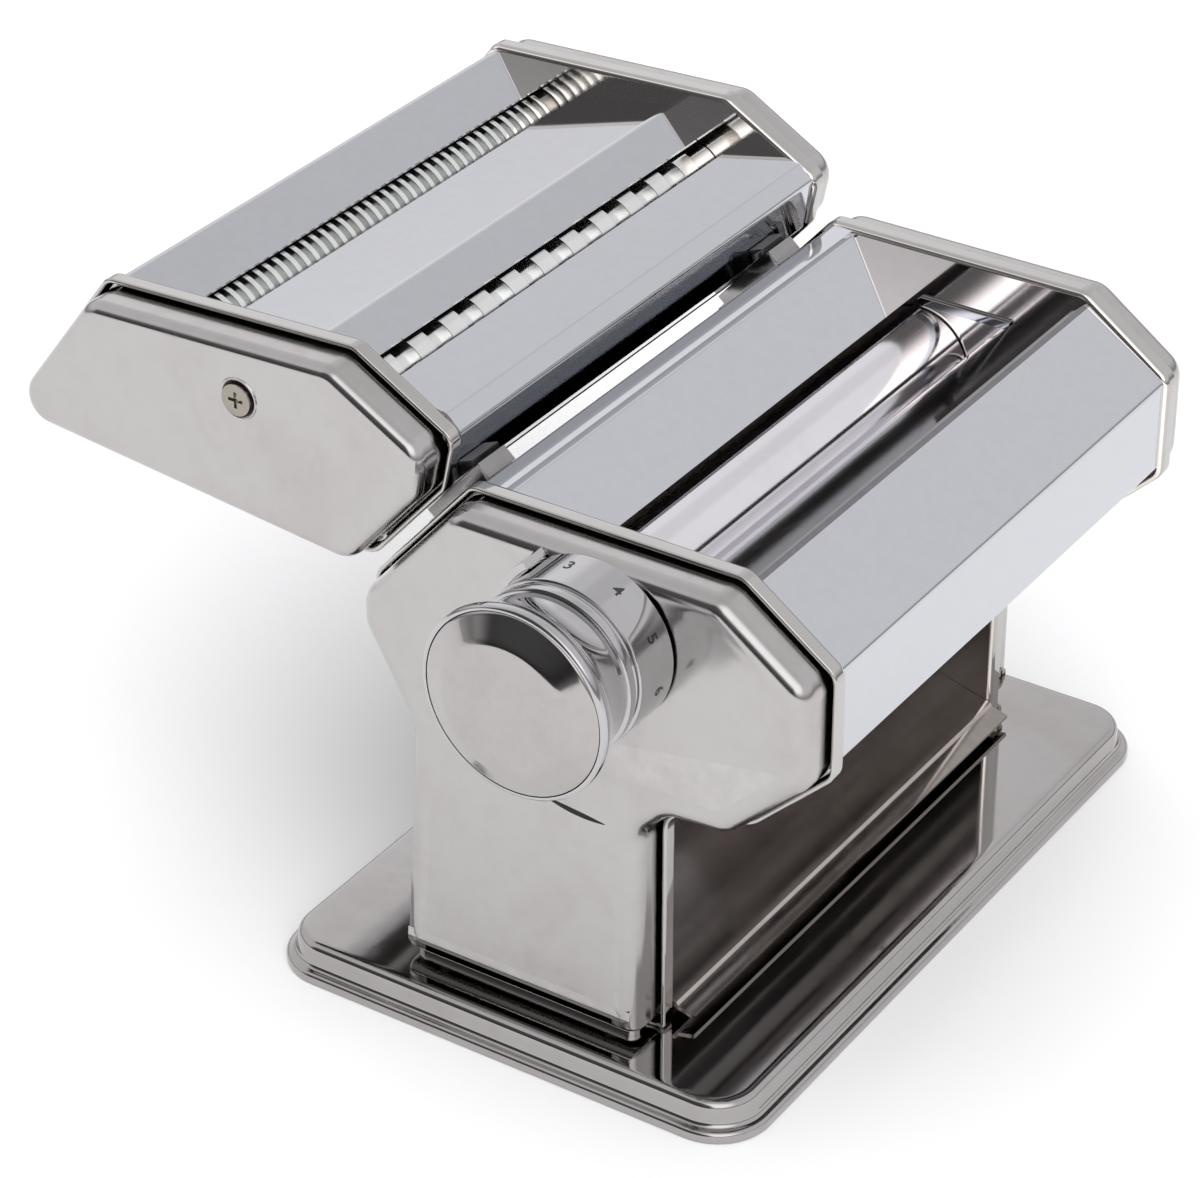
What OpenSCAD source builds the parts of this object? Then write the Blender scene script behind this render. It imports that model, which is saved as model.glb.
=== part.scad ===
// Hand-cranked pasta machine: roller head on a stamped base, with a
// lift-off two-width cutter attachment behind the head.
// Millimetres. X runs along the rollers (gap knob at -X, crank sockets at +X),
// -Y is the front, +Z is up. Z = 0 is the underside of the base.

/* [Base] */
// How far the base reaches past each side cover
base_side = 11.7; // [6:0.1:20]
// Base depth from front to back
base_w = 132; // [124:1:165]
// Height of the base top above the table
base_h = 9; // [7.5:0.5:12]
// Radius of the base corners
base_corner = 14; // [8:1:20]

/* [Roller head] */
// Working width between the two side frames
roll_w = 150; // [120:1:180]
// Height of the top edge of the side frames
head_top = 136.5; // [130:0.5:150]
// How far the head sits forward of the middle of the base
head_fwd = 16; // [8:1:24]
// Depth of the flat top, front half
top_front = 36; // [34:0.5:40]
// Reach of the nose in front of the head centre
nose_y = 59.5; // [56:0.5:68]
// Reach of the back corner behind the head centre
tail_y = 60.5; // [58:0.5:66]
// Side frame sheet thickness
frame_t = 1.2; // [1:0.1:1.6]
// Depth of the turned-out rim on the side frames
rim_d = 4.7; // [4:0.1:6]
// Depth of the outer side covers, frame to face
cover_d = 13.8; // [12.8:0.1:16]
// Gap between the rim and the cover
cover_gap = 1.6; // [1:0.1:2.4]

/* [Dough rollers] */
// Roller diameter
roller_d = 28; // [26:0.5:29]
// Roller axis height
roller_z = 106.4; // [104:0.2:108]
// Gap between the rollers with the knob at its closest number
gap_min = 0.3; // [0.2:0.05:0.6]
// How far the front roller opens
gap_travel = 2.8; // [1.5:0.1:3]
// Roller journal diameter
journal_d = 12; // [10:0.5:13]
// Teeth on each roller gear
gear_teeth = 14; // [14:1:16]
// Radial running clearance of journals
run_fit = 0.05; // [0.02:0.01:0.09]
// Bore of the crank sockets
crank_bore_d = 6; // [5:0.1:6.2]
// Depth of the crank sockets
crank_bore_l = 20; // [16:1:24]

/* [Gap knob] */
// Knob rim diameter
knob_d = 46.4; // [38.6:0.2:56]
// Numbered collar diameter
collar_d = 40.4; // [33:0.2:42]
// Knob length from the cover to the rim
knob_l = 32.2; // [28:0.2:39]

/* [Cutter attachment] */
// Outer diameter of the cutter discs
disc_d = 19; // [18.6:0.1:19.2]
// Strip width of the narrow cutter
fine_w = 1.8; // [1.5:0.1:3]
// Strip width of the wide cutter
wide_w = 6.2; // [5:0.1:7.5]
// Side clearance between meshing discs
disc_fit = 0.1; // [0.06:0.01:0.15]
// Height of the cutter roller axes
cutter_z = 140.5; // [140:0.1:141]

/* [Hidden] */
$fn = 48;
e = 0.01;
hx = roll_w / 2;              // inside face of a side frame
cover_x = hx + cover_d;       // face of a side cover
base_l = 2 * (cover_x + base_side);
cover_t = 0.9;
cover_in = frame_t + cover_gap;   // how far the cover outline sits inside the rim
sheet = 1;
head_y = -head_fwd;
roller_r = roller_d / 2;
nip_y = -6.15;
rear_y = nip_y + roller_r + gap_min / 2;
front_y = nip_y - roller_r - gap_min / 2;
journal_r = journal_d / 2;
bush_r = journal_r + 2;
knob_y = -5;
knob_z = 116;
shaft_r = 4;
leg_front = -17.5;
leg_rear = 51.5;
rod_r = 3;
// side outline of the head and leg: [y, z, corner radius], anticlockwise from +X
head_pts = [
    [leg_front, base_h, 1.5], [leg_rear, base_h, 1.5], [47.5, 74, 12], [tail_y, 97, 5],
    [tail_y, 106, 5], [34, head_top, 4], [-top_front, head_top, 6], [-nose_y, head_top - 17, 5],
    [-nose_y, 93.5, 5], [-39, 73.5, 9], [leg_front - 6, 72.5, 6], [leg_front, 66.5, 6]];
// side outline of the cutter attachment
back_low = [tail_y - 1.4, 105.7];     // lower end of the back slope
up = unit([34 - tail_y, head_top - 106]);     // up the back slope, the way the cutter slides off
out = [up[1], -up[0]];                // straight out from the back slope
slope_a = atan2(out[1], out[0]);
function on_slope(o, u) = back_low + out * o + up * u;
cut_pts = [
    concat(on_slope(4, 2), [6]), [146, 118.5, 5], [156, 121.5, 5], [156, 130, 6],
    [134, 159.3, 4], [64.6, 162, 6], [38, 146.5, 4], concat(on_slope(4, 32.5), [4])];
// tie rods between the side frames: [y, z]
rods = [[-nose_y + 7.5, 110], [46, 104], [-6, 81], [38, 28], [10, base_h + 8.2]];
// the four foot screws: [x sign, y]
foot_y = [-6, 40];
pair = 17.4;                  // distance between two meshing cutter rollers
disc_r = disc_d / 2;
core_r = pair - disc_r - 0.5;
fine_y = 113.7;
wide_y = 64.3;
cut_journal_r = 4.5;
cut_rod_r = 2.4;
cut_rods = [[142, 127], [90, 121]];
rail_x = hx - 13;             // where the cutter hooks on

// ---------- outlines ----------
function unit(v) = v / norm(v);
function cross2(a, b) = a[0] * b[1] - a[1] * b[0];
function left(v) = [-v[1], v[0]];
// where two lines meet (point, direction)
function meet(p, d, q, f) = abs(cross2(d, f)) < 1e-6 ? q : p + d * cross2(q - p, f) / cross2(d, f);
// corner i of an anticlockwise outline moved inwards by k
function inset_pt(pts, i, k) = let(
    n = len(pts), a = [pts[(i + n - 1) % n][0], pts[(i + n - 1) % n][1]], b = [pts[i][0], pts[i][1]],
    c = [pts[(i + 1) % n][0], pts[(i + 1) % n][1]], d1 = unit(b - a), d2 = unit(c - b))
    meet(a + left(d1) * k, d1, b + left(d2) * k, d2);
function turn(pts, i) = let(n = len(pts), a = pts[(i + n - 1) % n], b = pts[i], c = pts[(i + 1) % n])
    cross2([b[0] - a[0], b[1] - a[1]], [c[0] - b[0], c[1] - b[1]]);
function inset(pts, k) = [for (i = [0 : len(pts) - 1]) let(p = inset_pt(pts, i, k))
    [p[0], p[1], max(0.4, pts[i][2] - k * sign(turn(pts, i)))]];
// outline with its corners rounded, nseg segments to a corner
function rounded(pts, nseg = 5) = [for (i = [0 : len(pts) - 1]) let(
    n = len(pts), a = [pts[(i + n - 1) % n][0], pts[(i + n - 1) % n][1]], b = [pts[i][0], pts[i][1]],
    c = [pts[(i + 1) % n][0], pts[(i + 1) % n][1]], u = unit(a - b), v = unit(c - b),
    ang = acos(u * v), t = pts[i][2] / tan(ang / 2), mid = b + unit(u + v) * pts[i][2] / sin(ang / 2),
    p0 = b + u * t, p1 = b + v * t, a0 = atan2(p0[1] - mid[1], p0[0] - mid[0]),
    a1 = atan2(p1[1] - mid[1], p1[0] - mid[0]), da = ((a1 - a0 + 540) % 360) - 180)
    for (k = [0 : nseg]) mid + pts[i][2] * [cos(a0 + da * k / nseg), sin(a0 + da * k / nseg)]];
// a sheet of thickness t along an open path, thickness to the left of travel
function off_pt(p, i, t) = let(n = len(p),
    d1 = unit(p[max(i, 1)] - p[max(i, 1) - 1]), d2 = unit(p[min(i, n - 2) + 1] - p[min(i, n - 2)]))
    meet(p[i] + left(d1) * t, d1, p[i] + left(d2) * t, d2);
function strip(p, t) = concat(p, [for (i = [len(p) - 1 : -1 : 0]) off_pt(p, i, t)]);
// points of an arc
function bow(c, r, a0, a1, n) = [for (k = [0 : n]) c + r * [cos(a0 + (a1 - a0) * k / n), sin(a0 + (a1 - a0) * k / n)]];

// a flat loop [x, y, z] cut into triangles, ear by ear
function ear(p, t, i) = let(n = len(t), a = p[t[(i + n - 1) % n]], b = p[t[i]], c = p[t[(i + 1) % n]])
    cross2(b - a, c - b) > 1e-9 && len([for (k = [2 : n - 2]) let(q = p[t[(i + k) % n]])
        if (cross2(b - a, q - a) > -1e-9 && cross2(c - b, q - b) > -1e-9 && cross2(a - c, q - c) > -1e-9) 1]) == 0;
function first_ear(p, t, i = 0) = i >= len(t) - 1 || ear(p, t, i) ? i : first_ear(p, t, i + 1);
function ears(p, t, done = []) = len(t) < 4 ? concat(done, [t]) : let(n = len(t), k = first_ear(p, t))
    ears(p, [for (i = [0 : n - 1]) if (i != k) t[i]], concat(done, [[t[(k + n - 1) % n], t[k], t[(k + 1) % n]]]));
function cap(loop) = ears([for (q = loop) [q[1], q[2]]], [for (i = [0 : len(loop) - 1]) i]);

// ---------- helpers ----------
module head() translate([0, head_y, 0]) children();
module slab(x0, x1) translate([x0, 0, 0]) rotate([90, 0, 90]) linear_extrude(height = x1 - x0) children();
module rod(r, x0, x1, p) translate([x0, p[0], p[1]]) rotate([0, 90, 0]) cylinder(r = r, h = x1 - x0);
module outline(pts, k = 0) polygon(rounded(inset(pts, k)));
module both() { children(); mirror([1, 0, 0]) children(); }
module bent(path, t, x0 = -hx, x1 = hx) slab(x0, x1) polygon(strip(path, t));
// drawn casing: rings of the outline, closed at the face; lists are [x, inset]
module casing(pts, rings) {
    loops = [for (r = rings) [for (p = rounded(inset(pts, r[1]), 4)) [r[0], p[0], p[1]]]];
    n = len(loops[0]);
    m = len(loops);
    polyhedron(points = [for (l = loops) for (p = l) p], faces = concat(
        cap(loops[0]), [for (f = cap(loops[m - 1])) [for (i = [2, 1, 0]) f[i] + (m - 1) * n]],
        [for (k = [0 : m - 2]) for (i = [0 : n - 1]) [k * n + i, (k + 1) * n + (i + 1) % n, k * n + (i + 1) % n]],
        [for (k = [0 : m - 2]) for (i = [0 : n - 1]) [k * n + i, (k + 1) * n + i, (k + 1) * n + (i + 1) % n]]));
}
// pan-head screw along +X, head outside x
module screw_x(x, p, r = 3.4, h = 2, len = 8, shank = 1.9) {
    difference() {
        rod(r, x, x + h, p);
        translate([x + h - 0.7, p[0] - 2, p[1] - 0.4]) cube([1, 4, 0.8]);
        translate([x + h - 0.7, p[0] - 0.4, p[1] - 2]) cube([1, 0.8, 4]);
    }
    rod(shank, x - len, x, p);
}

// ---------- base ----------
module base_outline(k, x = base_l / 2, y = base_w / 2)
    polygon(rounded([[-x + k, -y + k, base_corner - k], [x - k, -y + k, base_corner - k],
        [x - k, y - k, base_corner - k], [-x + k, y - k, base_corner - k]], 8));
module base_plate() color("silver") difference() {
    union() {
        linear_extrude(height = base_h * 0.5) base_outline(0);
        linear_extrude(height = base_h - 0.8) base_outline(2.4);
        linear_extrude(height = base_h) base_outline(3.2);
    }
    translate([0, 0, -1]) linear_extrude(height = base_h - 0.2) base_outline(4.6);
    translate([0, 0, -1]) linear_extrude(height = 2) base_outline(1.2);
    head() for (s = [-1, 1]) for (y = foot_y) translate([s * (hx + 7.5), y, -1]) cylinder(r = 2.1, h = base_h + 3);
}
module base_bottom() color("gray") difference() {
    linear_extrude(height = sheet) base_outline(1.3);
    for (sx = [-1, 1]) for (sy = [-1, 1])
        translate([sx * (base_l / 2 - 20), sy * (base_w / 2 - 20), -1]) cylinder(r = 8, h = 4);
    head() for (s = [-1, 1]) for (y = foot_y) translate([s * (hx + 7.5), y, -1]) cylinder(r = 4.5, h = 4);
}
module base_feet() color("black") for (sx = [-1, 1]) for (sy = [-1, 1])
    translate([sx * (base_l / 2 - 20), sy * (base_w / 2 - 20), 0]) {
        cylinder(r = 8, h = 1);
        translate([0, 0, 1]) cylinder(r = 9.5, h = 2);
    }
module foot_screws() color("silver") head() for (s = [-1, 1]) for (y = foot_y)
    translate([s * (hx + 7.5), y, base_h - 1.8 - 2.2]) {
        difference() {
            cylinder(r = 3.6, h = 2.8 - 0.0);
            translate([-2, -0.4, -e]) cube([4, 0.8, 0.8]);
            translate([-0.4, -2, -e]) cube([0.8, 4, 0.8]);
        }
        translate([0, 0, 2.8]) cylinder(r = 2, h = 1.2 + 1.5 + 1.4);
        translate([0, 0, 5.5]) cylinder(r = 3.4, h = 2, $fn = 6);
    }

// ---------- head ----------
front_slot_r = journal_r + 1;
bars = [[-29, 84], [-40.5, roller_z]];
module frame_plate(cam) {
    difference() {
        union() {
            slab(hx, hx + frame_t) outline(head_pts);
            difference() {
                slab(hx, hx + rim_d) outline(head_pts);
                slab(hx - 1, hx + rim_d + 1) outline(head_pts, frame_t);
            }
            translate([hx, leg_front + 4, base_h]) cube([11, leg_rear - leg_front - 8, 1.5]);
        }
        rod(bush_r, hx - 1, hx + 3, [rear_y, roller_z]);
        for (d = [0, 1]) rod(front_slot_r, hx - 1, hx + 3, [front_y - d * (gap_travel + 0.4), roller_z]);
        translate([hx - 1, front_y - gap_travel - 0.4, roller_z - front_slot_r]) cube([4, gap_travel + 0.4, 2 * front_slot_r]);
        for (b = bars) {
            for (d = [0.4, -gap_travel - 0.4]) rod(3.5, hx - 1, hx + 3, [b[0] + d, b[1]]);
            translate([hx - 1, b[0] - gap_travel - 0.4, b[1] - 3.5]) cube([4, gap_travel + 0.8, 7]);
        }
        for (p = rods) rod(2, hx - 1, hx + 3, p);
        if (cam) rod(shaft_r + run_fit, hx - 1, hx + 3, [knob_y, knob_z]);
        for (y = foot_y) translate([hx + 7.5, y, base_h - 1]) cylinder(r = 2.1, h = 4);
    }
}
module left_frame() color("silver") head() mirror([1, 0, 0]) frame_plate(true);
module right_frame() color("silver") head() frame_plate(false);

cover_base = base_h + 3.6;    // lower edge of the covers, clear of the base
cover_pts = concat([[leg_front, cover_base - cover_in, 1.5], [leg_rear, cover_base - cover_in, 1.5]],
    [for (i = [2 : len(head_pts) - 1]) head_pts[i]]);
function cover_rings(t) = [[hx + frame_t + 0.9 - (t > 0 ? 1 : 0), cover_in + t], [hx + cover_d - 3.6, cover_in + t],
    [hx + cover_d - 1.2 - t * 0.4, cover_in + 0.9 + t], [hx + cover_d - t, cover_in + 3.4 + t * 0.6]];
module cover_shell(pts) difference() {
    casing(pts, cover_rings(0));
    casing(pts, cover_rings(cover_t));
}
module left_cover() color("silver") head() difference() {
    union() {
        mirror([1, 0, 0]) cover_shell(cover_pts);
        rod(5.9, -cover_x + cover_t - e, -hx - frame_t - 7.6, [knob_y, knob_z]);
    }
    rod(shaft_r + run_fit, -cover_x - 1, -hx, [knob_y, knob_z]);
}
module right_cover() color("silver") head() difference() {
    union() {
        cover_shell(cover_pts);
        // lip pressed around the crank hole
        rod(10.5, cover_x - 0.2, cover_x + 0.6, [rear_y, roller_z]);
    }
    rod(8.5, cover_x - 5, cover_x + 2, [rear_y, roller_z]);
    translate([cover_x - 6.3, leg_front, base_h + 8.5]) rotate([-90, 0, 0]) cylinder(r = 1.6, h = 8);
}
module cover_screws() color("silver") head()
    translate([cover_x - 6.3, leg_front + cover_in, base_h + 8.5]) rotate([0, 0, -90]) screw_x(0, [0, 0], 2.4, 1.8, 6, 1.6);

lip_z = head_top - 3.2;
lip = [-top_front - 1.4, lip_z];
nose = [-nose_y + 1.2, head_top - 17.6];
module front_panel() color("silver") head() bent([[-nose_y + 8, 95.2], [-nose_y + 1.2, 95.2],
    nose, lip], -sheet);
module front_hopper_plate() color("silver") head()
    bent([lip, lip + 1.2 * unit(lip - nose), [-top_front + 0.8, lip_z + 0.4], [front_y + 2, roller_z + roller_r + 3.4]], -sheet);
module rear_panel() color("silver") head()
    bent([[27.5, head_top - 0.8], on_slope(0, (head_top - 106.5) / up[1]), back_low, [tail_y - 1.4, 98], [tail_y - 7, 88]], -sheet);
module rear_hopper_plate() color("silver") head()
    bent([[27.5, head_top - 1.8], [27.5 - 1.2, head_top - 2], [rear_y + 1, roller_z + roller_r + 3.4]], sheet);
tray_path = concat([[-22.5, base_h + 2.2], [-17.5, base_h + 3.4]], bow([-52, 172.6], 163, -77.6, -54.5, 8));
module dough_tray() color("silver") head() difference() {
    bent(tray_path, sheet, -hx + 0.1, hx - 0.1);
    for (s = [-1, 1]) translate([s * (hx - 0.1), -24, base_h]) rotate([0, 0, 45]) cube([5, 5, 12], center = true);
}
module tie_rods() color("gray") head() for (p = rods) difference() {
    rod(rod_r, -hx, hx, p);
    for (s = [-1, 1]) rod(1.9, s > 0 ? hx - 10 : -hx - 1, s > 0 ? hx + 1 : -hx + 10, p);
}
module tie_rod_screws() color("silver") head() both() for (p = rods) screw_x(hx + frame_t, p, 3.2, 2, 9.5, 1.9);
module bush(x, p) difference() {
    union() {
        rod(bush_r, x, x + frame_t, p);
        rod(bush_r + 1.6, x + frame_t, x + frame_t + 1.6, p);
    }
    rod(journal_r + run_fit, x - 1, x + 6, p);
}
module rear_bushes() color("white") head() both() bush(hx, [rear_y, roller_z]);
// scraper bar below a roller: blade edge just off the roller
module rear_scraper() color("silver") head() {
    bent([[rear_y + 10.6, roller_z - 10.4], [rear_y + 13.4, roller_z - 13.2], [rear_y + 13.4, roller_z - 21]], 0.8, -hx, hx);
}
module roller_end_strips() color("silver") head() both() difference() {
    slab(hx - 1.1, hx) polygon([[front_y + 3, roller_z + roller_r + 1], [rear_y - 1, roller_z + roller_r + 1],
        [rear_y + 0.6, roller_z + roller_r + 2.2], [rear_y - 0.6, roller_z + roller_r + 3.2], [front_y + 3.2, roller_z + roller_r + 3.2]]);
}
module dial_index() color("silver") head() difference() {
    slab(-cover_x - 7.4, -cover_x) polygon(concat(
        bow([knob_y, knob_z], collar_d / 2 + 2.4, 20, 52, 10), bow([knob_y, knob_z], collar_d / 2 + 0.5, 52, 20, 10)));
}
// sections on the back slope: drawn across it, running up it from u0 to u1
module slope_run(u0, u1) head() translate([0, on_slope(0, u0)[0], on_slope(0, u0)[1]]) rotate([slope_a, 0, 0])
    linear_extrude(height = u1 - u0) children();
module tee(x) {
    translate([x - 0.8, 0]) square([1.6, 2.4]);
    translate([x - 3.5, 1.4]) square([7, 1]);
}
module channel(x) difference() {
    translate([x - 5.1, 0.5]) square([10.2, 4.1]);
    translate([x - 3.9, 1]) square([7.8, 1.8]);
    translate([x - 1.5, 0]) square([3, 2]);
}
module cutter_rails() color("silver") slope_run(8, 32) both() tee(rail_x);
module cutter_hooks() color("silver") {
    slope_run(12, 32.4) both() channel(rail_x);
    slope_run(32.4, 33.6) both() translate([rail_x - 5.1, 0.5]) square([10.2, 4.1]);
}

// ---------- gap knob and cam ----------
cam_turn = 320;
cam_r0 = 10.2;
function cam_r(a) = cam_r0 - gap_travel + gap_travel * a / cam_turn;
follow_r = 2;
follow_y = knob_y - (cam_r0 - gap_travel) - follow_r - 0.12;
module cam_shaft() color("gray") head() {
    rod(shaft_r, -cover_x - 0.3, -hx + 0.1, [knob_y, knob_z]);
    translate([-cover_x - knob_l + 4, knob_y - 2.6, knob_z - 2.6]) cube([cover_x + knob_l - 4 - hx - 10, 5.2, 5.2]);
    slab(-hx - frame_t - 6.6, -hx - frame_t - 3.6) polygon([for (k = [0 : 40]) let(a = 330 * k / 40)
        [knob_y, knob_z] + cam_r(a - 5) * [-cos(a - 5), -sin(a - 5)]]);
}
module knob_turned(pts) head() translate([-cover_x, knob_y, knob_z]) rotate([0, -90, 0]) rotate_extrude($fn = 96) polygon(pts);
k_r = knob_d / 2;
c_r = collar_d / 2;
module knob_grip() color("silver") difference() {
    knob_turned([[0, 0.5], [c_r, 0.5], [c_r, 13.4], [c_r - 1, 13.8], [c_r - 1, 14.8], [c_r - 0.2, 15.2], [c_r - 0.2, 17.4],
        [c_r - 1.2, 17.8], [c_r - 1.2, 18.8], [c_r - 0.4, 20.6], [c_r + 0.8, knob_l - 7.4], [k_r - 0.9, knob_l - 3.4],
        [k_r - 0.1, knob_l - 2.2], [k_r, knob_l - 1.3], [k_r - 0.2, knob_l - 0.4], [k_r - 0.8, knob_l], [k_r - 1.2, knob_l],
        [k_r - 1.2, knob_l - 2], [0, knob_l - 2]]);
    head() translate([-cover_x - knob_l + 1.9, knob_y - 2.66, knob_z - 2.66]) cube([knob_l + 2, 5.32, 5.32]);
    knob_turned([[6, -1], [c_r - 3.4, -1], [c_r - 3.4, knob_l - 5], [6, knob_l - 5]]);
}
module knob_face() color("silver") knob_turned([[0, knob_l - 2], [k_r - 1.25, knob_l - 2], [k_r - 1.25, knob_l - 0.2],
    [k_r - 1.7, knob_l + 0.2], [k_r - 6.9, knob_l + 3.2], [k_r - 7.8, knob_l + 3.5], [0, knob_l + 3.5]]);

// ---------- front roller carriage ----------
plate_x = hx + frame_t + 0.3;
module carriage_plates() color("gray") head() {
    both() difference() {
        slab(plate_x, plate_x + 2) polygon(rounded([[-34, 79, 3], [-23, 79, 3], [-11.2, 96, 3], [-11.2, 120, 3],
            [-32, 120, 3], [-45.5, 112, 3], [-45.5, 101, 3]], 4));
        rod(bush_r, plate_x - 1, plate_x + 3, [front_y, roller_z]);
        for (b = bars) rod(1.6, plate_x - 1, plate_x + 3, b);
    }
    rod(follow_r, -plate_x - 5, -plate_x - 2, [follow_y, knob_z]);
}
module carriage_bars() color("gray") head() for (b = bars) difference() {
    rod(3, -plate_x, plate_x, b);
    for (s = [-1, 1]) rod(1.5, s > 0 ? hx - 8 : -hx - 9, s > 0 ? hx + 9 : -hx + 8, b);
}
module carriage_bushes() color("white") head() both() difference() {
    union() {
        rod(bush_r, plate_x, plate_x + 2, [front_y, roller_z]);
        rod(bush_r + 1, plate_x + 2, plate_x + 3, [front_y, roller_z]);
    }
    rod(journal_r + run_fit, plate_x - 1, plate_x + 6, [front_y, roller_z]);
}
module front_scraper() color("silver") head() difference() {
    bent([[bars[0][0] + 1.6, bars[0][1] + 2.6], [front_y - 9.6, roller_z - 12.6], [front_y - 10.4, roller_z - 10.6]], -0.8, -hx + 0.4, hx - 0.4);
    rod(3, -hx, hx, bars[0]);
}

// ---------- gears and rollers ----------
// one involute flank: point at radius r for base radius rb
function inv_at(rb, r) = r <= rb ? 0 : let(t = sqrt(r * r / rb / rb - 1)) t * 180 / PI - atan(t);
// gear outline: n teeth, centre distance c for two equal gears, thinned teeth
function gear_pts(n, c, phase, slack) = let(
    rp = c / 2, m = 2 * rp / n, pa = 25, rb = rp * cos(pa), ra = rp + 0.95 * m, rf = rp - 1.2 * m,
    half = 90 / n - slack, base_a = half + inv_at(rb, rp), rs = [max(rb, rf + 0.1), rp - 0.45 * m, rp, rp + 0.5 * m, ra])
    [for (k = [0 : n - 1]) let(a = phase + 360 * k / n) each concat(
        [rf * [cos(a - base_a), sin(a - base_a)]],
        [for (r = rs) r * [cos(a - base_a + inv_at(rb, r)), sin(a - base_a + inv_at(rb, r))]],
        [for (i = [len(rs) - 1 : -1 : 0]) rs[i] * [cos(a + base_a - inv_at(rb, rs[i])), sin(a + base_a - inv_at(rb, rs[i]))]],
        [rf * [cos(a + base_a), sin(a + base_a)]])];
module gear(x, w, p, n, c, phase, bore, slack) translate([0, p[0], p[1]]) difference() {
    slab(x, x + w) polygon(gear_pts(n, c, phase, slack));
    rod(bore, x - 1, x + w + 1, [0, 0]);
}
gear_x = plate_x + 3.5;
roller_gap_c = roller_d + gap_min;
module socket(x, p) {
    rod(crank_bore_d / 2, x - crank_bore_l, x + 1, p);
    translate([x - 2.5, p[0] - 3.9, p[1] - 0.9]) cube([4, 7.8, 1.8]);
}
module rear_roller() color("silver") head() difference() {
    union() {
        rod(roller_r, -hx + 0.3, hx - 0.3, [rear_y, roller_z], $fn = 96);
        rod(journal_r, -hx - 4.4, cover_x + 1.5, [rear_y, roller_z]);
    }
    socket(cover_x + 1.5, [rear_y, roller_z]);
}
module rear_gear() color("gray") head() gear(gear_x, 5.5, [rear_y, roller_z], gear_teeth, roller_gap_c, 0, journal_r, 1.1);
module front_roller() color("silver") head() {
    rod(roller_r, -hx + 0.3, hx - 0.3, [front_y, roller_z], $fn = 96);
    rod(journal_r, -plate_x - 4, gear_x + 6.5, [front_y, roller_z]);
}
module front_gear() color("gray") head() gear(gear_x, 5.5, [front_y, roller_z], gear_teeth, roller_gap_c, gear_teeth % 2 == 0 ? 180 / gear_teeth : 0, journal_r, 1.1);

// ---------- cutter attachment ----------
cf_y = fine_y - pair / 2;
cr_y = fine_y + pair / 2;
wf_y = wide_y - pair / 2;
wr_y = wide_y + pair / 2;
plate_z = cutter_z + 11;
module cutter_frame() difference() {
    union() {
        slab(hx, hx + frame_t) outline(cut_pts);
        difference() {
            slab(hx, hx + rim_d) outline(cut_pts);
            slab(hx - 1, hx + rim_d + 1) outline(cut_pts, frame_t);
        }
    }
    for (y = [cf_y, cr_y, wf_y, wr_y]) rod(cut_journal_r + 1.5, hx - 1, hx + 3, [y, cutter_z]);
    for (p = cut_rods) rod(1.6, hx - 1, hx + 3, p);
}
module cutter_left_frame() color("silver") head() mirror([1, 0, 0]) cutter_frame();
module cutter_right_frame() color("silver") head() cutter_frame();
cut_screw = [90, 145.5];
module cutter_left_cover() color("silver") head() difference() {
    mirror([1, 0, 0]) cover_shell(cut_pts);
    rod(4.6, -cover_x - 1, -cover_x + 0.45, cut_screw);
    rod(2.1, -cover_x - 1, -cover_x + 3, cut_screw);
}
module cutter_right_cover() color("silver") head() difference() {
    cover_shell(cut_pts);
    rod(4.6, cover_x - 0.45, cover_x + 1, cut_screw);
    rod(2.1, cover_x - 3, cover_x + 1, cut_screw);
    for (y = [cr_y, wr_y]) rod(cut_journal_r + 2, cover_x - 3, cover_x + 1, [y, cutter_z]);
}
module cutter_rear_plate() color("silver") head() bent([[fine_y + 6, plate_z - 0.4], [133, 158.3], [155, 129.6],
    [155, 122.2], [148, 120]], -sheet);
module cutter_centre_plate() color("silver") head() bent([[wide_y + 5.2, plate_z], [80, plate_z + 4.6],
    [fine_y - 5.9, plate_z]], -sheet);
module cutter_front_plate() color("silver") head() bent([on_slope(4.6, 24), on_slope(4.6, 32), [39.3, 146],
    [43, 149.6], [wide_y - 5.3, plate_z + 0.6]], -sheet);
module cutter_tie_rods() color("gray") head() {
    for (p = cut_rods) difference() {
        rod(cut_rod_r, -hx, hx, p);
        for (s = [-1, 1]) rod(1.5, s > 0 ? hx - 10 : -hx - 1, s > 0 ? hx + 1 : -hx + 10, p);
    }
    // posts the cover screws bite into
    both() difference() {
        rod(3.6, hx + frame_t, cover_x - cover_t, cut_screw);
        rod(1.9, cover_x - 9, cover_x, cut_screw);
    }
}
module cutter_screws() color("silver") head() both() {
    screw_x(cover_x - 0.45, cut_screw, 3.9, 1.5, 7, 1.9);
    for (p = cut_rods) screw_x(hx + frame_t, p, 3, 1.8, 9.5, 1.5);
}
module cutter_bushes() color("white") head() both() for (y = [cf_y, cr_y, wf_y, wr_y]) difference() {
    union() {
        rod(cut_journal_r + 1.5, hx, hx + frame_t, [y, cutter_z]);
        rod(cut_journal_r + 2.6, hx + frame_t, hx + frame_t + 1.3, [y, cutter_z]);
    }
    rod(cut_journal_r + run_fit, hx - 1, hx + 4, [y, cutter_z]);
}
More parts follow.
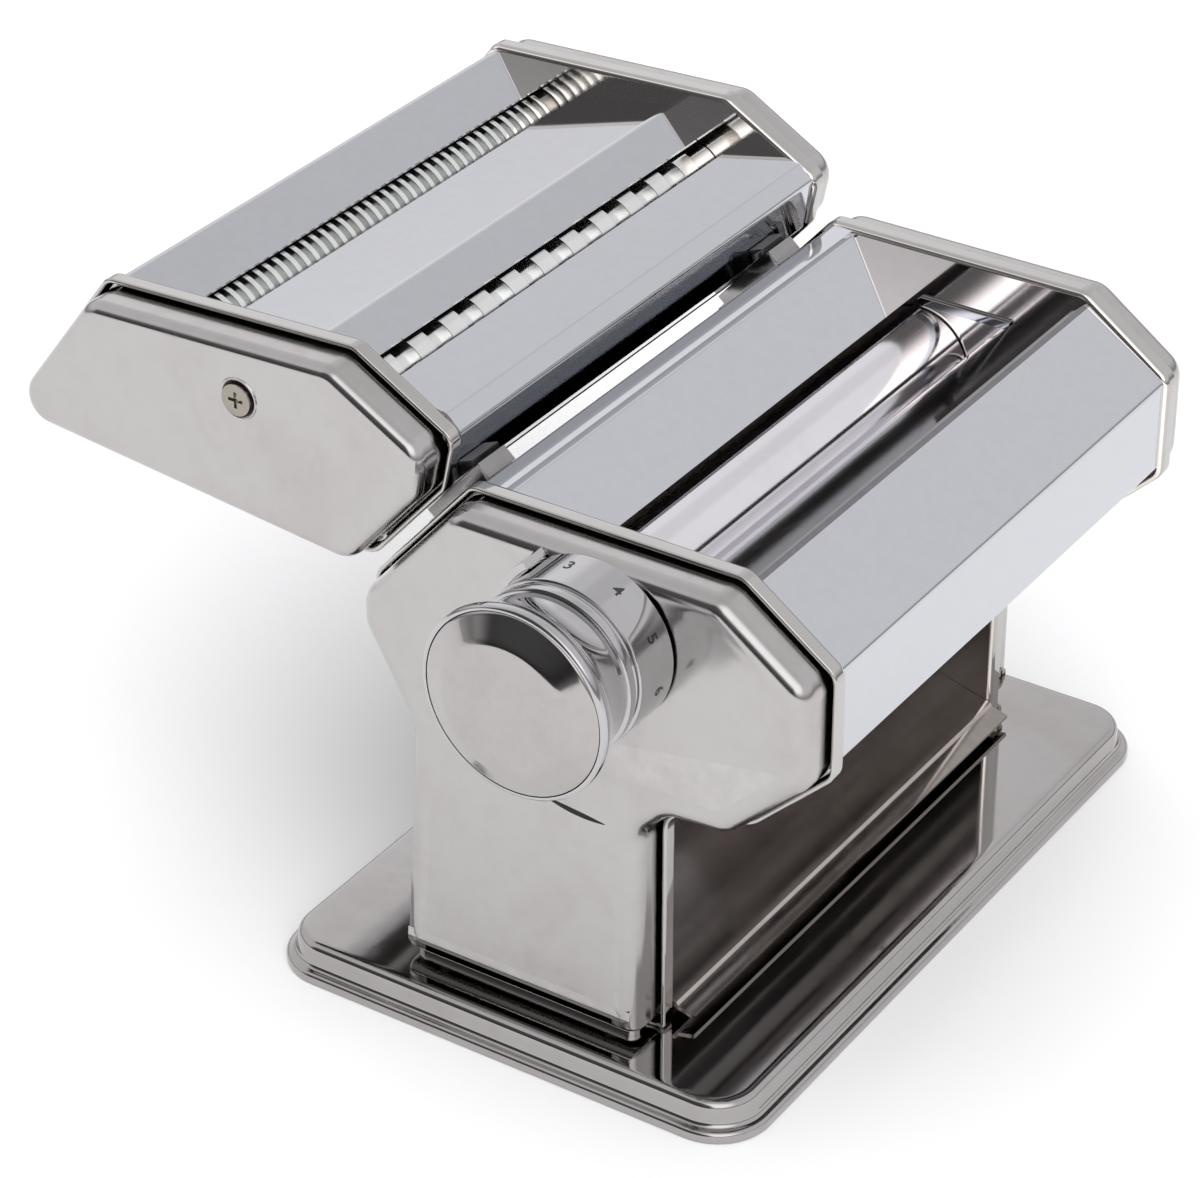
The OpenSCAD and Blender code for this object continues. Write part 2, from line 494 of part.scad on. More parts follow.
// comb: a spine with fingers standing in the grooves; w strip width, y side of roller, odd = grooves shifted
function count(w) = floor((roll_w - 3) / (2 * w) / 2);
module comb(y, w, shift) {
    translate([-hx, y - 0.5, cutter_z - 21]) cube([roll_w, 1, 11]);
    for (k = [-count(w) : count(w)]) let(x = 2 * w * k + (shift ? w : 0))
        if (abs(x) + w / 2 < hx - 1) translate([x - w / 2 + 0.35, y - 0.5, cutter_z - 10.2]) cube([w - 0.7, 1, 2]);
}
module fine_combs() color("silver") head() { comb(cr_y + 2, fine_w, true); comb(cf_y - 2, fine_w, false); }
module wide_combs() color("silver") head() { comb(wr_y + 1.5, wide_w, true); comb(wf_y - 1.5, wide_w, false); }
// stack of discs turned from one bar; a shifted roller stands in the other's grooves
cut_gear_x = hx + frame_t + 2;
module cutter_roller(y, w, shift, driven) {
    n = count(w);
    half = (w - disc_fit) / 2;
    xs = [for (k = [-n : n]) let(x = 2 * w * k + (shift ? w : 0)) if (abs(x) + w / 2 < hx - 0.8) x];
    end = driven ? cover_x + 0.5 : cut_gear_x + 6;
    difference() {
        translate([0, y, cutter_z]) rotate([0, 90, 0]) rotate_extrude($fn = 64) polygon(concat(
            [[0, -hx - 3.4], [cut_journal_r, -hx - 3.4], [cut_journal_r, -hx + 0.3], [core_r, -hx + 0.3]],
            [for (x = xs) each [[core_r, x - half], [disc_r, x - half], [disc_r, x + half], [core_r, x + half]]],
            [[core_r, hx - 0.3], [cut_journal_r, hx - 0.3], [cut_journal_r, end], [0, end]]));
        if (driven) socket(end, [y, cutter_z]);
    }
}
module fine_rear_cutter() color("silver") head() cutter_roller(cr_y, fine_w, false, true);
module fine_front_cutter() color("silver") head() cutter_roller(cf_y, fine_w, true, false);
module wide_rear_cutter() color("silver") head() cutter_roller(wr_y, wide_w, false, true);
module wide_front_cutter() color("silver") head() cutter_roller(wf_y, wide_w, true, false);
module cut_gear(y, phase) gear(cut_gear_x, 5, [y, cutter_z], 12, pair, phase, cut_journal_r, 1.3);
module fine_rear_gear() color("gray") head() cut_gear(cr_y, 0);
module fine_front_gear() color("gray") head() cut_gear(cf_y, 15);
module wide_rear_gear() color("gray") head() cut_gear(wr_y, 0);
module wide_front_gear() color("gray") head() cut_gear(wf_y, 15);

base_plate();
base_bottom();
base_feet();
foot_screws();
left_frame();
right_frame();
left_cover();
right_cover();
cover_screws();
front_panel();
front_hopper_plate();
rear_panel();
rear_hopper_plate();
dough_tray();
tie_rods();
tie_rod_screws();
rear_bushes();
rear_scraper();
roller_end_strips();
dial_index();
cutter_rails();
cutter_hooks();
cam_shaft();
knob_grip();
knob_face();
carriage_plates();
carriage_bars();
carriage_bushes();
front_scraper();
rear_roller();
rear_gear();
front_roller();
front_gear();
cutter_left_frame();
cutter_right_frame();
cutter_left_cover();
cutter_right_cover();
cutter_rear_plate();
cutter_centre_plate();
cutter_front_plate();
cutter_tie_rods();
cutter_screws();
cutter_bushes();
fine_combs();
wide_combs();
fine_rear_cutter();
fine_front_cutter();
fine_rear_gear();
fine_front_gear();
wide_rear_cutter();
wide_front_cutter();
wide_rear_gear();
wide_front_gear();
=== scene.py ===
"""Hand-cranked pasta machine with a lift-off cutter attachment.

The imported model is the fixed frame.  Sheet parts, rollers, covers and the
dial knob are rebuilt here with real bends, beads and rounded edges; the
smaller CAD nodes stay and take a bevel and a finish.  Sizes are in
millimetres in the classes and become metres when a mesh is made.
"""
import logging
import math
from dataclasses import dataclass, field
from enum import Enum
from typing import Callable, Optional, Sequence

import bmesh
import bpy
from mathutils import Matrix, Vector
from mathutils.geometry import tessellate_polygon


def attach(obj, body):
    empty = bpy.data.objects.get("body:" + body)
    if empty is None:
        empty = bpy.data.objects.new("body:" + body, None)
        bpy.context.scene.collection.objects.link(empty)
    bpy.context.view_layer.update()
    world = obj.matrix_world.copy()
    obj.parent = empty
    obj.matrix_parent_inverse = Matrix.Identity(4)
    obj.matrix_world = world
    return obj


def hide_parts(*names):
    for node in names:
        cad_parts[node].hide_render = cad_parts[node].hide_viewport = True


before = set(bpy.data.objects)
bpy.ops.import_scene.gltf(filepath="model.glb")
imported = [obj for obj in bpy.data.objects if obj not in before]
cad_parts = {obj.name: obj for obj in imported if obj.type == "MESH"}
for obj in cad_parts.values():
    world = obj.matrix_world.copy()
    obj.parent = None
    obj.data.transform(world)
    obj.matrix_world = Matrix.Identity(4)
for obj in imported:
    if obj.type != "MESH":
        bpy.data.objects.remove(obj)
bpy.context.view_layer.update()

LOG = logging.getLogger("pasta_machine")
MM = 0.001
SIDES = ((-1, "left"), (1, "right"))
JOIN_MM = 1e-4
AXIS_MM = 0.01
MIN_RADIUS = 0.4
CORNER_SHARE = 0.49
WELD_M = 2e-6
BEVEL_M = 0.00012
BEVEL_STEPS = 2
BEVEL_ANGLE = 35
BUMP_M = 0.001

Point = tuple[float, float]
Corner = tuple[float, float, float]
Ring = tuple[float, float]
Tree = bpy.types.NodeTree
Socket = bpy.types.NodeSocket
Mesh = bmesh.types.BMesh


class Body(Enum):
    """The moving bodies that pieces ride on."""

    MACHINE = "machine"
    CAM = "cam"
    KNOB = "knob"
    CARRIAGE = "carriage"
    REAR_ROLLER = "rear_roller_set"
    FRONT_ROLLER = "front_roller_set"
    CUTTER = "cutter"
    FINE_REAR = "fine_rear_set"
    FINE_FRONT = "fine_front_set"
    WIDE_REAR = "wide_rear_set"
    WIDE_FRONT = "wide_front_set"


# ---------------------------------------------------------------- outlines


def unit(v: Point) -> Point:
    """The direction of v."""
    n = math.hypot(v[0], v[1]) or 1.0
    return v[0] / n, v[1] / n


def inset(corners: Sequence[Corner], k: float) -> list[Corner]:
    """Moves every edge of an anticlockwise outline inwards.

    Args:
        corners: Corner positions and radii, anticlockwise.
        k: How far inwards, in millimetres.

    Returns:
        The moved corners, with radii changed to stay concentric.
    """
    out: list[Corner] = []
    n = len(corners)
    for i in range(n):
        a, b, c = corners[i - 1], corners[i], corners[(i + 1) % n]
        d1 = unit((b[0] - a[0], b[1] - a[1]))
        d2 = unit((c[0] - b[0], c[1] - b[1]))
        p = (b[0] - d1[1] * k, b[1] + d1[0] * k)
        q = (b[0] - d2[1] * k, b[1] + d2[0] * k)
        cross = d1[0] * d2[1] - d1[1] * d2[0]
        if abs(cross) > 1e-6:
            t = ((q[0] - p[0]) * d2[1] - (q[1] - p[1]) * d2[0]) / cross
            q = (p[0] + d1[0] * t, p[1] + d1[1] * t)
        out.append((q[0], q[1], max(MIN_RADIUS, b[2] - math.copysign(k, cross))))
    return out


def rounded(corners: Sequence[Corner], segments: int = 10) -> list[Point]:
    """Rounds the corners of a closed outline.

    Args:
        corners: Corner positions and radii.
        segments: Straight pieces to a corner.

    Returns:
        Points round the outline.
    """
    pts: list[Point] = []
    n = len(corners)
    for i in range(n):
        pts += arc_corner(corners[i - 1], corners[i], corners[(i + 1) % n], segments)
    return pts


def arc_corner(a: Sequence[float], b: Corner, c: Sequence[float], segments: int) -> list[Point]:
    """The arc that replaces corner b between neighbours a and c.

    Args:
        a: The corner before.
        b: The corner and its radius.
        c: The corner after.
        segments: Straight pieces in the arc.

    Returns:
        Points along the arc.
    """
    u = unit((a[0] - b[0], a[1] - b[1]))
    v = unit((c[0] - b[0], c[1] - b[1]))
    dot = max(-1.0, min(1.0, u[0] * v[0] + u[1] * v[1]))
    ang = math.acos(dot)
    if ang > math.pi - 1e-4 or b[2] <= 0:
        return [(b[0], b[1])]
    sides = [math.hypot(p[0] - b[0], p[1] - b[1]) for p in (a, c)]
    room = CORNER_SHARE * min(sides)
    t = min(b[2] / math.tan(ang / 2), room)
    r = t * math.tan(ang / 2)
    m = unit((u[0] + v[0], u[1] + v[1]))
    h = r / math.sin(ang / 2)
    mid = (b[0] + m[0] * h, b[1] + m[1] * h)
    p0 = (b[0] + u[0] * t, b[1] + u[1] * t)
    p1 = (b[0] + v[0] * t, b[1] + v[1] * t)
    a0 = math.atan2(p0[1] - mid[1], p0[0] - mid[0])
    a1 = math.atan2(p1[1] - mid[1], p1[0] - mid[0])
    da = (a1 - a0 + 3 * math.pi) % (2 * math.pi) - math.pi
    turns = [a0 + da * k / segments for k in range(segments + 1)]
    return [(mid[0] + r * math.cos(turn), mid[1] + r * math.sin(turn)) for turn in turns]


def quarter(cx: float, cy: float, rx: float, ry: float, a0: float, a1: float, n: int = 6) -> list[Ring]:
    """Points of an elliptical arc, for a ring profile.

    Args:
        cx: Centre, first coordinate.
        cy: Centre, second coordinate.
        rx: First radius.
        ry: Second radius.
        a0: First angle in degrees.
        a1: Last angle in degrees.
        n: Straight pieces.

    Returns:
        The points.
    """
    return [(cx + rx * math.cos(math.radians(a0 + (a1 - a0) * k / n)),
             cy + ry * math.sin(math.radians(a0 + (a1 - a0) * k / n))) for k in range(n + 1)]


# ---------------------------------------------------------------- mesh making


def linked(name: str, data: bpy.types.ID) -> bpy.types.Object:
    """A new object of that data, put in the scene."""
    obj = bpy.data.objects.new(name, data)
    bpy.context.scene.collection.objects.link(obj)
    return obj


def to_object(bm: Mesh, name: str, body: Body, finish: "Finish",
              crease: float = 32.0, replaces: Sequence[str] = (),
              inner: Optional["Finish"] = None) -> bpy.types.Object:
    """Turns a bmesh in millimetres into a shaded piece that rides on a body.

    Args:
        bm: The mesh, freed here.
        name: Piece name.
        body: The body it moves with.
        finish: The finish it wears.
        crease: Edges sharper than this many degrees stay sharp.
        replaces: CAD nodes it stands for.
        inner: Finish of the faces marked with material 1; the callers pass a lighter copy as painted reflection
            on the frames and a near-black one as painted shade on the sheets.

    Returns:
        The new piece.
    """
    bmesh.ops.remove_doubles(bm, verts=bm.verts, dist=JOIN_MM)
    bmesh.ops.recalc_face_normals(bm, faces=bm.faces)
    bmesh.ops.scale(bm, vec=(MM, MM, MM), verts=bm.verts)
    for f in bm.faces:
        f.smooth = True
    for e in bm.edges:
        e.smooth = not (len(e.link_faces) == 2 and e.calc_face_angle(0.0) > math.radians(crease))
    mesh = bpy.data.meshes.new(name)
    bm.to_mesh(mesh)
    bm.free()
    obj = linked(name, mesh)
    mesh.materials.append(finish.material())
    if inner is not None:
        mesh.materials.append(inner.material())
    normals = obj.modifiers.new("flat_faces", "WEIGHTED_NORMAL")
    normals.keep_sharp = True
    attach(obj, body.value)
    if replaces:
        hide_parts(*replaces)
    LOG.info("%s on %s", name, body.value)
    return obj


def loft(bm: Mesh, loops: Sequence[Sequence[Vector]], first: bool = True,
         last: bool = True, closed: bool = True) -> None:
    """Joins loops of points with quads and may cap both ends.

    Args:
        bm: Mesh to add to.
        loops: Loops with the same number of points.
        first: Cap the first loop.
        last: Cap the last loop.
        closed: The loops close on themselves.
    """
    rows = [[bm.verts.new(p) for p in loop] for loop in loops]
    n = len(rows[0])
    for a, b in zip(rows, rows[1:]):
        for i in range(n if closed else n - 1):
            j = (i + 1) % n
            bm.faces.new((a[i], a[j], b[j], b[i]))
    if first:
        bm.faces.new(list(reversed(rows[0])))
    if last:
        bm.faces.new(rows[-1])


def lathe(bm: Mesh, profile: Sequence[Point], y: float, z: float,
          segments: int = 96, x_sign: float = 1.0, ends: bool = True) -> None:
    """Turns a profile of (x, radius) about an axis along X.

    Args:
        bm: Mesh to add to.
        profile: Points from one end to the other.
        y: Axis position.
        z: Axis height.
        segments: Pieces round the axis.
        x_sign: -1 mirrors the profile to the other side.
        ends: Whether open ends are closed with a disc.
    """
    loops = [[Vector((x_sign * x, y + r * math.cos(2 * math.pi * k / segments),
                      z + r * math.sin(2 * math.pi * k / segments))) for k in range(segments)]
             for x, r in profile]
    loft(bm, loops, first=ends and profile[0][1] > AXIS_MM, last=ends and profile[-1][1] > AXIS_MM)


def sheet_section(path: Sequence[Corner], thickness: float, segments: int = 7) -> list[Point]:
    """Cross-section of a bent sheet.

    Args:
        path: Points of one face with their bend radii, from end to end.
        thickness: Sheet thickness, to the left of travel if positive.
        segments: Straight pieces to a bend.

    Returns:
        The closed outline.
    """
    line: list[Point] = [(path[0][0], path[0][1])]
    for i in range(1, len(path) - 1):
        line += arc_corner(path[i - 1], path[i], path[i + 1], segments)
    line.append((path[-1][0], path[-1][1]))
    other: list[Point] = []
    for i, p in enumerate(line):
        a, b = line[max(0, i - 1)], line[min(len(line) - 1, i + 1)]
        d0 = unit((p[0] - a[0], p[1] - a[1])) if i else unit((b[0] - p[0], b[1] - p[1]))
        d1 = unit((b[0] - p[0], b[1] - p[1])) if i < len(line) - 1 else d0
        m = unit((d0[0] + d1[0], d0[1] + d1[1]))
        k = thickness / max(0.5, m[0] * d1[0] + m[1] * d1[1])
        other.append((p[0] - m[1] * k, p[1] + m[0] * k))
    return line + other[::-1]


# ---------------------------------------------------------------- finishes


def group(name: str, inputs: Sequence[tuple[str, str, float]],
          outputs: Sequence[tuple[str, str]]) -> tuple[Tree, bpy.types.Node, bpy.types.Node]:
    """Starts a shader node group with named sockets.

    Args:
        name: Group name.
        inputs: Name, socket type and default of each input.
        outputs: Name and socket type of each output.

    Returns:
        The group, its input node and its output node.
    """
    tree = bpy.data.node_groups.new(name, "ShaderNodeTree")
    for label, kind, default in inputs:
        sock = tree.interface.new_socket(label, in_out="INPUT", socket_type=kind)
        if kind == "NodeSocketFloat":
            sock.default_value = default
    for label, kind in outputs:
        tree.interface.new_socket(label, in_out="OUTPUT", socket_type=kind)
    return tree, tree.nodes.new("NodeGroupInput"), tree.nodes.new("NodeGroupOutput")


def math_node(tree: Tree, op: str, a: object, b: object) -> Socket:
    """Adds a maths node to a tree.

    Args:
        tree: Node tree.
        op: Operation name.
        a: First socket or number.
        b: Second socket or number.

    Returns:
        The result socket.
    """
    n = tree.nodes.new("ShaderNodeMath")
    n.operation = op
    for i, v in enumerate((a, b)):
        if isinstance(v, (int, float)):
            n.inputs[i].default_value = v
        else:
            tree.links.new(v, n.inputs[i])
    return n.outputs[0]


def noise(tree: Tree, vector: Socket, scale: object, detail: float = 4.0,
          rough: float = 0.55, distortion: float = 0.0) -> Socket:
    """Adds a noise texture.

    Args:
        tree: Node tree.
        vector: Coordinates.
        scale: Number or socket.
        detail: Octaves.
        rough: Weight of the fine octaves.
        distortion: Swirl.

    Returns:
        The noise value from 0 to 1.
    """
    n = tree.nodes.new("ShaderNodeTexNoise")
    tree.links.new(vector, n.inputs["Vector"])
    if isinstance(scale, (int, float)):
        n.inputs["Scale"].default_value = scale
    else:
        tree.links.new(scale, n.inputs["Scale"])
    n.inputs["Detail"].default_value = detail
    n.inputs["Roughness"].default_value = rough
    n.inputs["Distortion"].default_value = distortion
    return n.outputs["Fac"]


def remap(tree: Tree, value: Socket, a: float, b: float,
          c: float, d: float) -> Socket:
    """Maps a..b smoothly to c..d.

    Args:
        tree: Node tree.
        value: Input socket.
        a: Lowest input.
        b: Highest input.
        c: Output at a.
        d: Output at b.

    Returns:
        The mapped value.
    """
    n = tree.nodes.new("ShaderNodeMapRange")
    n.interpolation_type = "SMOOTHSTEP"
    tree.links.new(value, n.inputs["Value"])
    for label, v in (("From Min", a), ("From Max", b), ("To Min", c), ("To Max", d)):
        n.inputs[label].default_value = v
    return n.outputs["Result"]


class Effects:
    """Shared shader groups, each built once."""

    _made: dict[str, Tree] = {}

    @classmethod
    def get(cls, name: str) -> Tree:
        """Gives a group by name and builds it the first time.

        Args:
            name: One of smudges, ripple, hairlines, edge_wear.

        Returns:
            The node group.
        """
        if name not in cls._made:
            cls._made[name] = getattr(cls, "_" + name)()
        return cls._made[name]

    @staticmethod
    def _smudges() -> Tree:
        """Finger marks and wiped haze: a mask from 0, clean, to 1, greasy."""
        inputs = [("Vector", "NodeSocketVector", 0), ("Size", "NodeSocketFloat", 40),
                  ("Amount", "NodeSocketFloat", 0.5)]
        tree, gi, go = group("smudges", inputs, [("Mask", "NodeSocketFloat")])
        v = gi.outputs["Vector"]
        small = math_node(tree, "MULTIPLY", gi.outputs["Size"], 7)
        wide_noise = noise(tree, v, gi.outputs["Size"], detail=5, rough=0.6, distortion=0.8)
        fine_noise = noise(tree, v, small, detail=3, rough=0.6, distortion=0.2)
        broad = math_node(tree, "MULTIPLY", remap(tree, wide_noise, 0.45, 0.72, 0, 1), 0.7)
        fine = math_node(tree, "MULTIPLY", remap(tree, fine_noise, 0.42, 0.7, 0, 1), 0.3)
        both = math_node(tree, "ADD", broad, fine)
        tree.links.new(math_node(tree, "MULTIPLY", both, gi.outputs["Amount"]), go.inputs["Mask"])
        return tree

    @staticmethod
    def _ripple() -> Tree:
        """The slow waviness of polished sheet, as a height."""
        inputs = [("Vector", "NodeSocketVector", 0), ("Size", "NodeSocketFloat", 25),
                  ("Depth", "NodeSocketFloat", 1)]
        tree, gi, go = group("ripple", inputs, [("Height", "NodeSocketFloat")])
        n = noise(tree, gi.outputs["Vector"], gi.outputs["Size"], detail=1.5, rough=0.35, distortion=0.4)
        tree.links.new(math_node(tree, "MULTIPLY", n, gi.outputs["Depth"]), go.inputs["Height"])
        return tree

    @staticmethod
    def _hairlines() -> Tree:
        """Fine drawing lines along the sheet, as a mask from 0 to 1."""
        inputs = [("Vector", "NodeSocketVector", 0), ("Fineness", "NodeSocketFloat", 900)]
        tree, gi, go = group("hairlines", inputs, [("Mask", "NodeSocketFloat")])
        m = tree.nodes.new("ShaderNodeMapping")
        m.inputs["Scale"].default_value = (0.012, 1.0, 1.0)
        tree.links.new(gi.outputs["Vector"], m.inputs["Vector"])
        n = noise(tree, m.outputs["Vector"], gi.outputs["Fineness"], 2, 0.5)
        tree.links.new(remap(tree, n, 0.3, 0.7, 0, 1), go.inputs["Mask"])
        return tree

    @staticmethod
    def _edge_wear() -> Tree:
        """Edges and tight bends rubbed brighter: a mask from 0 to 1."""
        inputs = [("Vector", "NodeSocketVector", 0), ("Strength", "NodeSocketFloat", 1)]
        tree, gi, go = group("edge_wear", inputs, [("Mask", "NodeSocketFloat")])
        geo = tree.nodes.new("ShaderNodeNewGeometry")
        edge = remap(tree, geo.outputs["Pointiness"], 0.52, 0.62, 0, 1)
        patchy = remap(tree, noise(tree, gi.outputs["Vector"], 300, 3), 0.35, 0.65, 0.3, 1)
        m = math_node(tree, "MULTIPLY", math_node(tree, "MULTIPLY", edge, patchy), gi.outputs["Strength"])
        tree.links.new(m, go.inputs["Mask"])
        return tree


@dataclass(frozen=True)
class Finish:
    """A metal, rubber or plastic finish built from the shared effects."""

    name: str
    slot: str
    tint: tuple[float, float, float]
    haze: tuple[float, float, float]
    roughness: float = 0.05
    haze_roughness: float = 0.16
    metallic: float = 1.0
    smudge: float = 0.5
    smudge_size: float = 40.0
    ripple: float = 0.0
    ripple_size: float = 22.0
    lines: float = 0.0
    wear: float = 0.3

    def material(self) -> bpy.types.Material:
        """The finish's material, built the first time it is asked for."""
        made = bpy.data.materials.get(self.name)
        if made:
            return made
        mat = bpy.data.materials.new(self.name)
        mat.use_nodes = True
        tree = mat.node_tree
        tree.nodes.clear()
        out = tree.nodes.new("ShaderNodeOutputMaterial")
        shader = tree.nodes.new("ShaderNodeBsdfPrincipled")
        tree.links.new(shader.outputs[0], out.inputs["Surface"])
        where = tree.nodes.new("ShaderNodeTexCoord").outputs["Object"]
        smudges = self._effect(tree, "smudges", where, Size=self.smudge_size, Amount=self.smudge)
        wear = self._effect(tree, "edge_wear", where, Strength=self.wear)
        mix = tree.nodes.new("ShaderNodeMix")
        mix.data_type = "RGBA"
        mix.inputs["A"].default_value = (*self.tint, 1)
        mix.inputs["B"].default_value = (*self.haze, 1)
        tree.links.new(smudges, mix.inputs["Factor"])
        bright = tree.nodes.new("ShaderNodeMix")
        bright.data_type = "RGBA"
        bright.inputs["B"].default_value = (*[min(1.0, c * 1.25 + 0.02) for c in self.tint], 1)
        tree.links.new(mix.outputs["Result"], bright.inputs["A"])
        tree.links.new(wear, bright.inputs["Factor"])
        tree.links.new(bright.outputs["Result"], shader.inputs["Base Color"])
        rough = remap(tree, smudges, 0, 1, self.roughness, self.haze_roughness)
        shader.inputs["Metallic"].default_value = self.metallic
        height: Optional[Socket] = None
        if self.lines:
            mask = self._effect(tree, "hairlines", where, Fineness=900.0)
            rough = math_node(tree, "ADD", rough, math_node(tree, "MULTIPLY", mask, self.lines))
            height = math_node(tree, "MULTIPLY", mask, 0.02 * self.lines)
        if self.ripple:
            wave = self._effect(tree, "ripple", where, Size=self.ripple_size, Depth=self.ripple)
            height = wave if height is None else math_node(tree, "ADD", height, wave)
        tree.links.new(rough, shader.inputs["Roughness"])
        if height is not None:
            bump = tree.nodes.new("ShaderNodeBump")
            bump.inputs["Strength"].default_value = 1.0
            bump.inputs["Distance"].default_value = BUMP_M
            tree.links.new(height, bump.inputs["Height"])
            tree.links.new(bump.outputs["Normal"], shader.inputs["Normal"])
        return mat

    @staticmethod
    def _effect(tree: Tree, name: str, where: Socket,
                **values: float) -> Socket:
        """Places a shared group in a material.

        Args:
            tree: The material's tree.
            name: Group name.
            where: Coordinates.
            **values: Socket values by name.

        Returns:
            The group's first output.
        """
        n = tree.nodes.new("ShaderNodeGroup")
        n.node_tree = Effects.get(name)
        tree.links.new(where, n.inputs["Vector"])
        for key, v in values.items():
            n.inputs[key].default_value = v
        return n.outputs[0]


MIRROR = Finish("mirror_sheet", "polished_steel", (0.55, 0.56, 0.585), (0.53, 0.535, 0.555), 0.05, 0.08,
                smudge=0.2,
                smudge_size=10, ripple=0.04, ripple_size=9, wear=0.1)
# Darker, brownish copy of the polished sheet for the dough tray: painted dark reflection and shade under the
# rollers.
SHADED_TRAY = Finish("shaded_tray_sheet", "polished_steel", (0.34, 0.31, 0.29), (0.27, 0.245, 0.225), 0.06, 0.14,
              smudge=0.5)
# Lighter, warmer copy of the frame steel for the frames' inner faces: painted warm reflection.
LIT_FRAME_INSIDE = Finish("frame_inside_painted_reflection", "polished_steel", (0.93, 0.875, 0.83), (0.84, 0.78, 0.72), 0.08,
                      0.16, smudge=0.4, smudge_size=24)
# Dark copy of the polished sheet for the front hopper plate: painted shade inside the hopper.
SHADED_HOPPER = Finish("shaded_hopper_sheet", "polished_steel", (0.21, 0.205, 0.21), (0.17, 0.165, 0.165), 0.07, 0.14,
                smudge=0.5)
FRAME = Finish("frame_sheet", "polished_steel", (0.50, 0.49, 0.475), (0.44, 0.425, 0.405), 0.06, 0.14,
               smudge=0.5, smudge_size=24, wear=0.1)
COVER = Finish("cover_sheet", "polished_steel", (0.475, 0.46, 0.455), (0.41, 0.392, 0.378), 0.16, 0.28,
               smudge=0.75,
               smudge_size=28, ripple=0.12, ripple_size=18)
BASE = Finish("base_sheet", "polished_steel", (0.43, 0.415, 0.41), (0.365, 0.345, 0.33), 0.05, 0.14,
              smudge=0.6,
              smudge_size=20, ripple=0.16, ripple_size=16)
# Inner faces of the bent sheets: dull like the real inside, and tinted near black as painted shade.
INSIDE_SHADE = Finish("dull_inside_painted_shade", "polished_steel", (0.10, 0.09, 0.085), (0.06, 0.055, 0.05), 0.35,
                   0.5, smudge=0.8)
ROLLER = Finish("ground_roller", "roller_steel", (0.76, 0.75, 0.78), (0.66, 0.65, 0.66), 0.09, 0.2,
                smudge=0.3, lines=0.05, wear=0.0)
DISC = Finish("cutter_disc", "roller_steel", (0.74, 0.75, 0.74), (0.60, 0.60, 0.57), 0.16, 0.26,
              smudge=0.4, wear=0.8)
KNOB = Finish("knob_plate", "knob_chrome", (0.48, 0.475, 0.48), (0.40, 0.39, 0.38), 0.03, 0.10,
              smudge=0.4, smudge_size=60)
KNOB_FACE = Finish("knob_face_sheet", "knob_chrome", (0.43, 0.415, 0.405), (0.37, 0.35, 0.335), 0.08,
                   0.18, smudge=0.6, smudge_size=50)
PLAIN = Finish("drawn_steel", "satin_steel", (0.34, 0.33, 0.33), (0.24, 0.23, 0.22), 0.28, 0.4, lines=0.12)
SCREW = Finish("plated_screw", "screw_steel", (0.34, 0.315, 0.275), (0.20, 0.185, 0.16), 0.22, 0.36,
               wear=0.25)
# Near-black finish that paints shade: the foot nuts in the gap behind the covers, the rings in the socket and
# screw openings and the crease strips.
SHADE_BLACK = Finish("painted_shade_black", "screw_steel", (0.035, 0.034, 0.033), (0.06, 0.055, 0.05), 0.45, 0.6,
                 wear=0.2)
GEAR = Finish("hobbed_steel", "gear_steel", (0.42, 0.42, 0.42), (0.30, 0.29, 0.28), 0.3, 0.45, wear=0.8)
ZINC = Finish("zinc_sheet", "zinc_sheet", (0.55, 0.56, 0.57), (0.44, 0.45, 0.45), 0.32, 0.45, lines=0.1)
NYLON = Finish("natural_nylon", "nylon", (0.78, 0.76, 0.70), (0.68, 0.66, 0.60), 0.45, 0.6, 0.0, wear=0.1)
RUBBER = Finish("foot_rubber", "rubber", (0.03, 0.03, 0.03), (0.07, 0.07, 0.07), 0.7, 0.85, 0.0, wear=0.1)
INK = Finish("dial_ink", "rubber", (0.015, 0.015, 0.016), (0.05, 0.05, 0.05), 0.35, 0.5, 0.0, wear=0.0)

CARRIED: dict[str, Finish] = {name: finish for finish, names in (
    (ZINC, "base_bottom"),
    (RUBBER, "base_feet"),
    # foot nuts tinted near black so they sink into the shaded gap behind the cover: painted shade
    (SHADE_BLACK, "foot_screws"),
    (SCREW, "cover_screws tie_rod_screws cutter_screws"),
    (PLAIN, "tie_rods rear_scraper cutter_rails cutter_hooks cam_shaft carriage_plates carriage_bars "
            "front_scraper cutter_tie_rods fine_combs wide_combs"),
    (NYLON, "rear_bushes carriage_bushes cutter_bushes"),
    (MIRROR, "roller_end_strips"),
    (KNOB, "dial_index"),
    (GEAR, "rear_gear front_gear fine_rear_gear fine_front_gear wide_rear_gear wide_front_gear")
) for name in names.split()}


def dress_carried() -> None:
    """Gives every CAD node that stays its finish, a small bevel and even normals."""
    for name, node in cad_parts.items():
        finish = CARRIED.get(name)
        if finish is None:
            continue
        node.data.materials.clear()
        node.data.materials.append(finish.material())
        node.data.polygons.foreach_set("use_smooth", [True] * len(node.data.polygons))
        weld = node.modifiers.new("join_faces", "WELD")
        weld.merge_threshold = WELD_M
        bevel = node.modifiers.new("soft_edges", "BEVEL")
        bevel.width = BEVEL_M
        bevel.segments = BEVEL_STEPS
        bevel.limit_method = "ANGLE"
        bevel.angle_limit = math.radians(BEVEL_ANGLE)
        even = node.modifiers.new("flat_faces", "WEIGHTED_NORMAL")
        even.keep_sharp = False
        LOG.info("%s keeps its CAD shape", name)


# ---------------------------------------------------------------- sub-assemblies


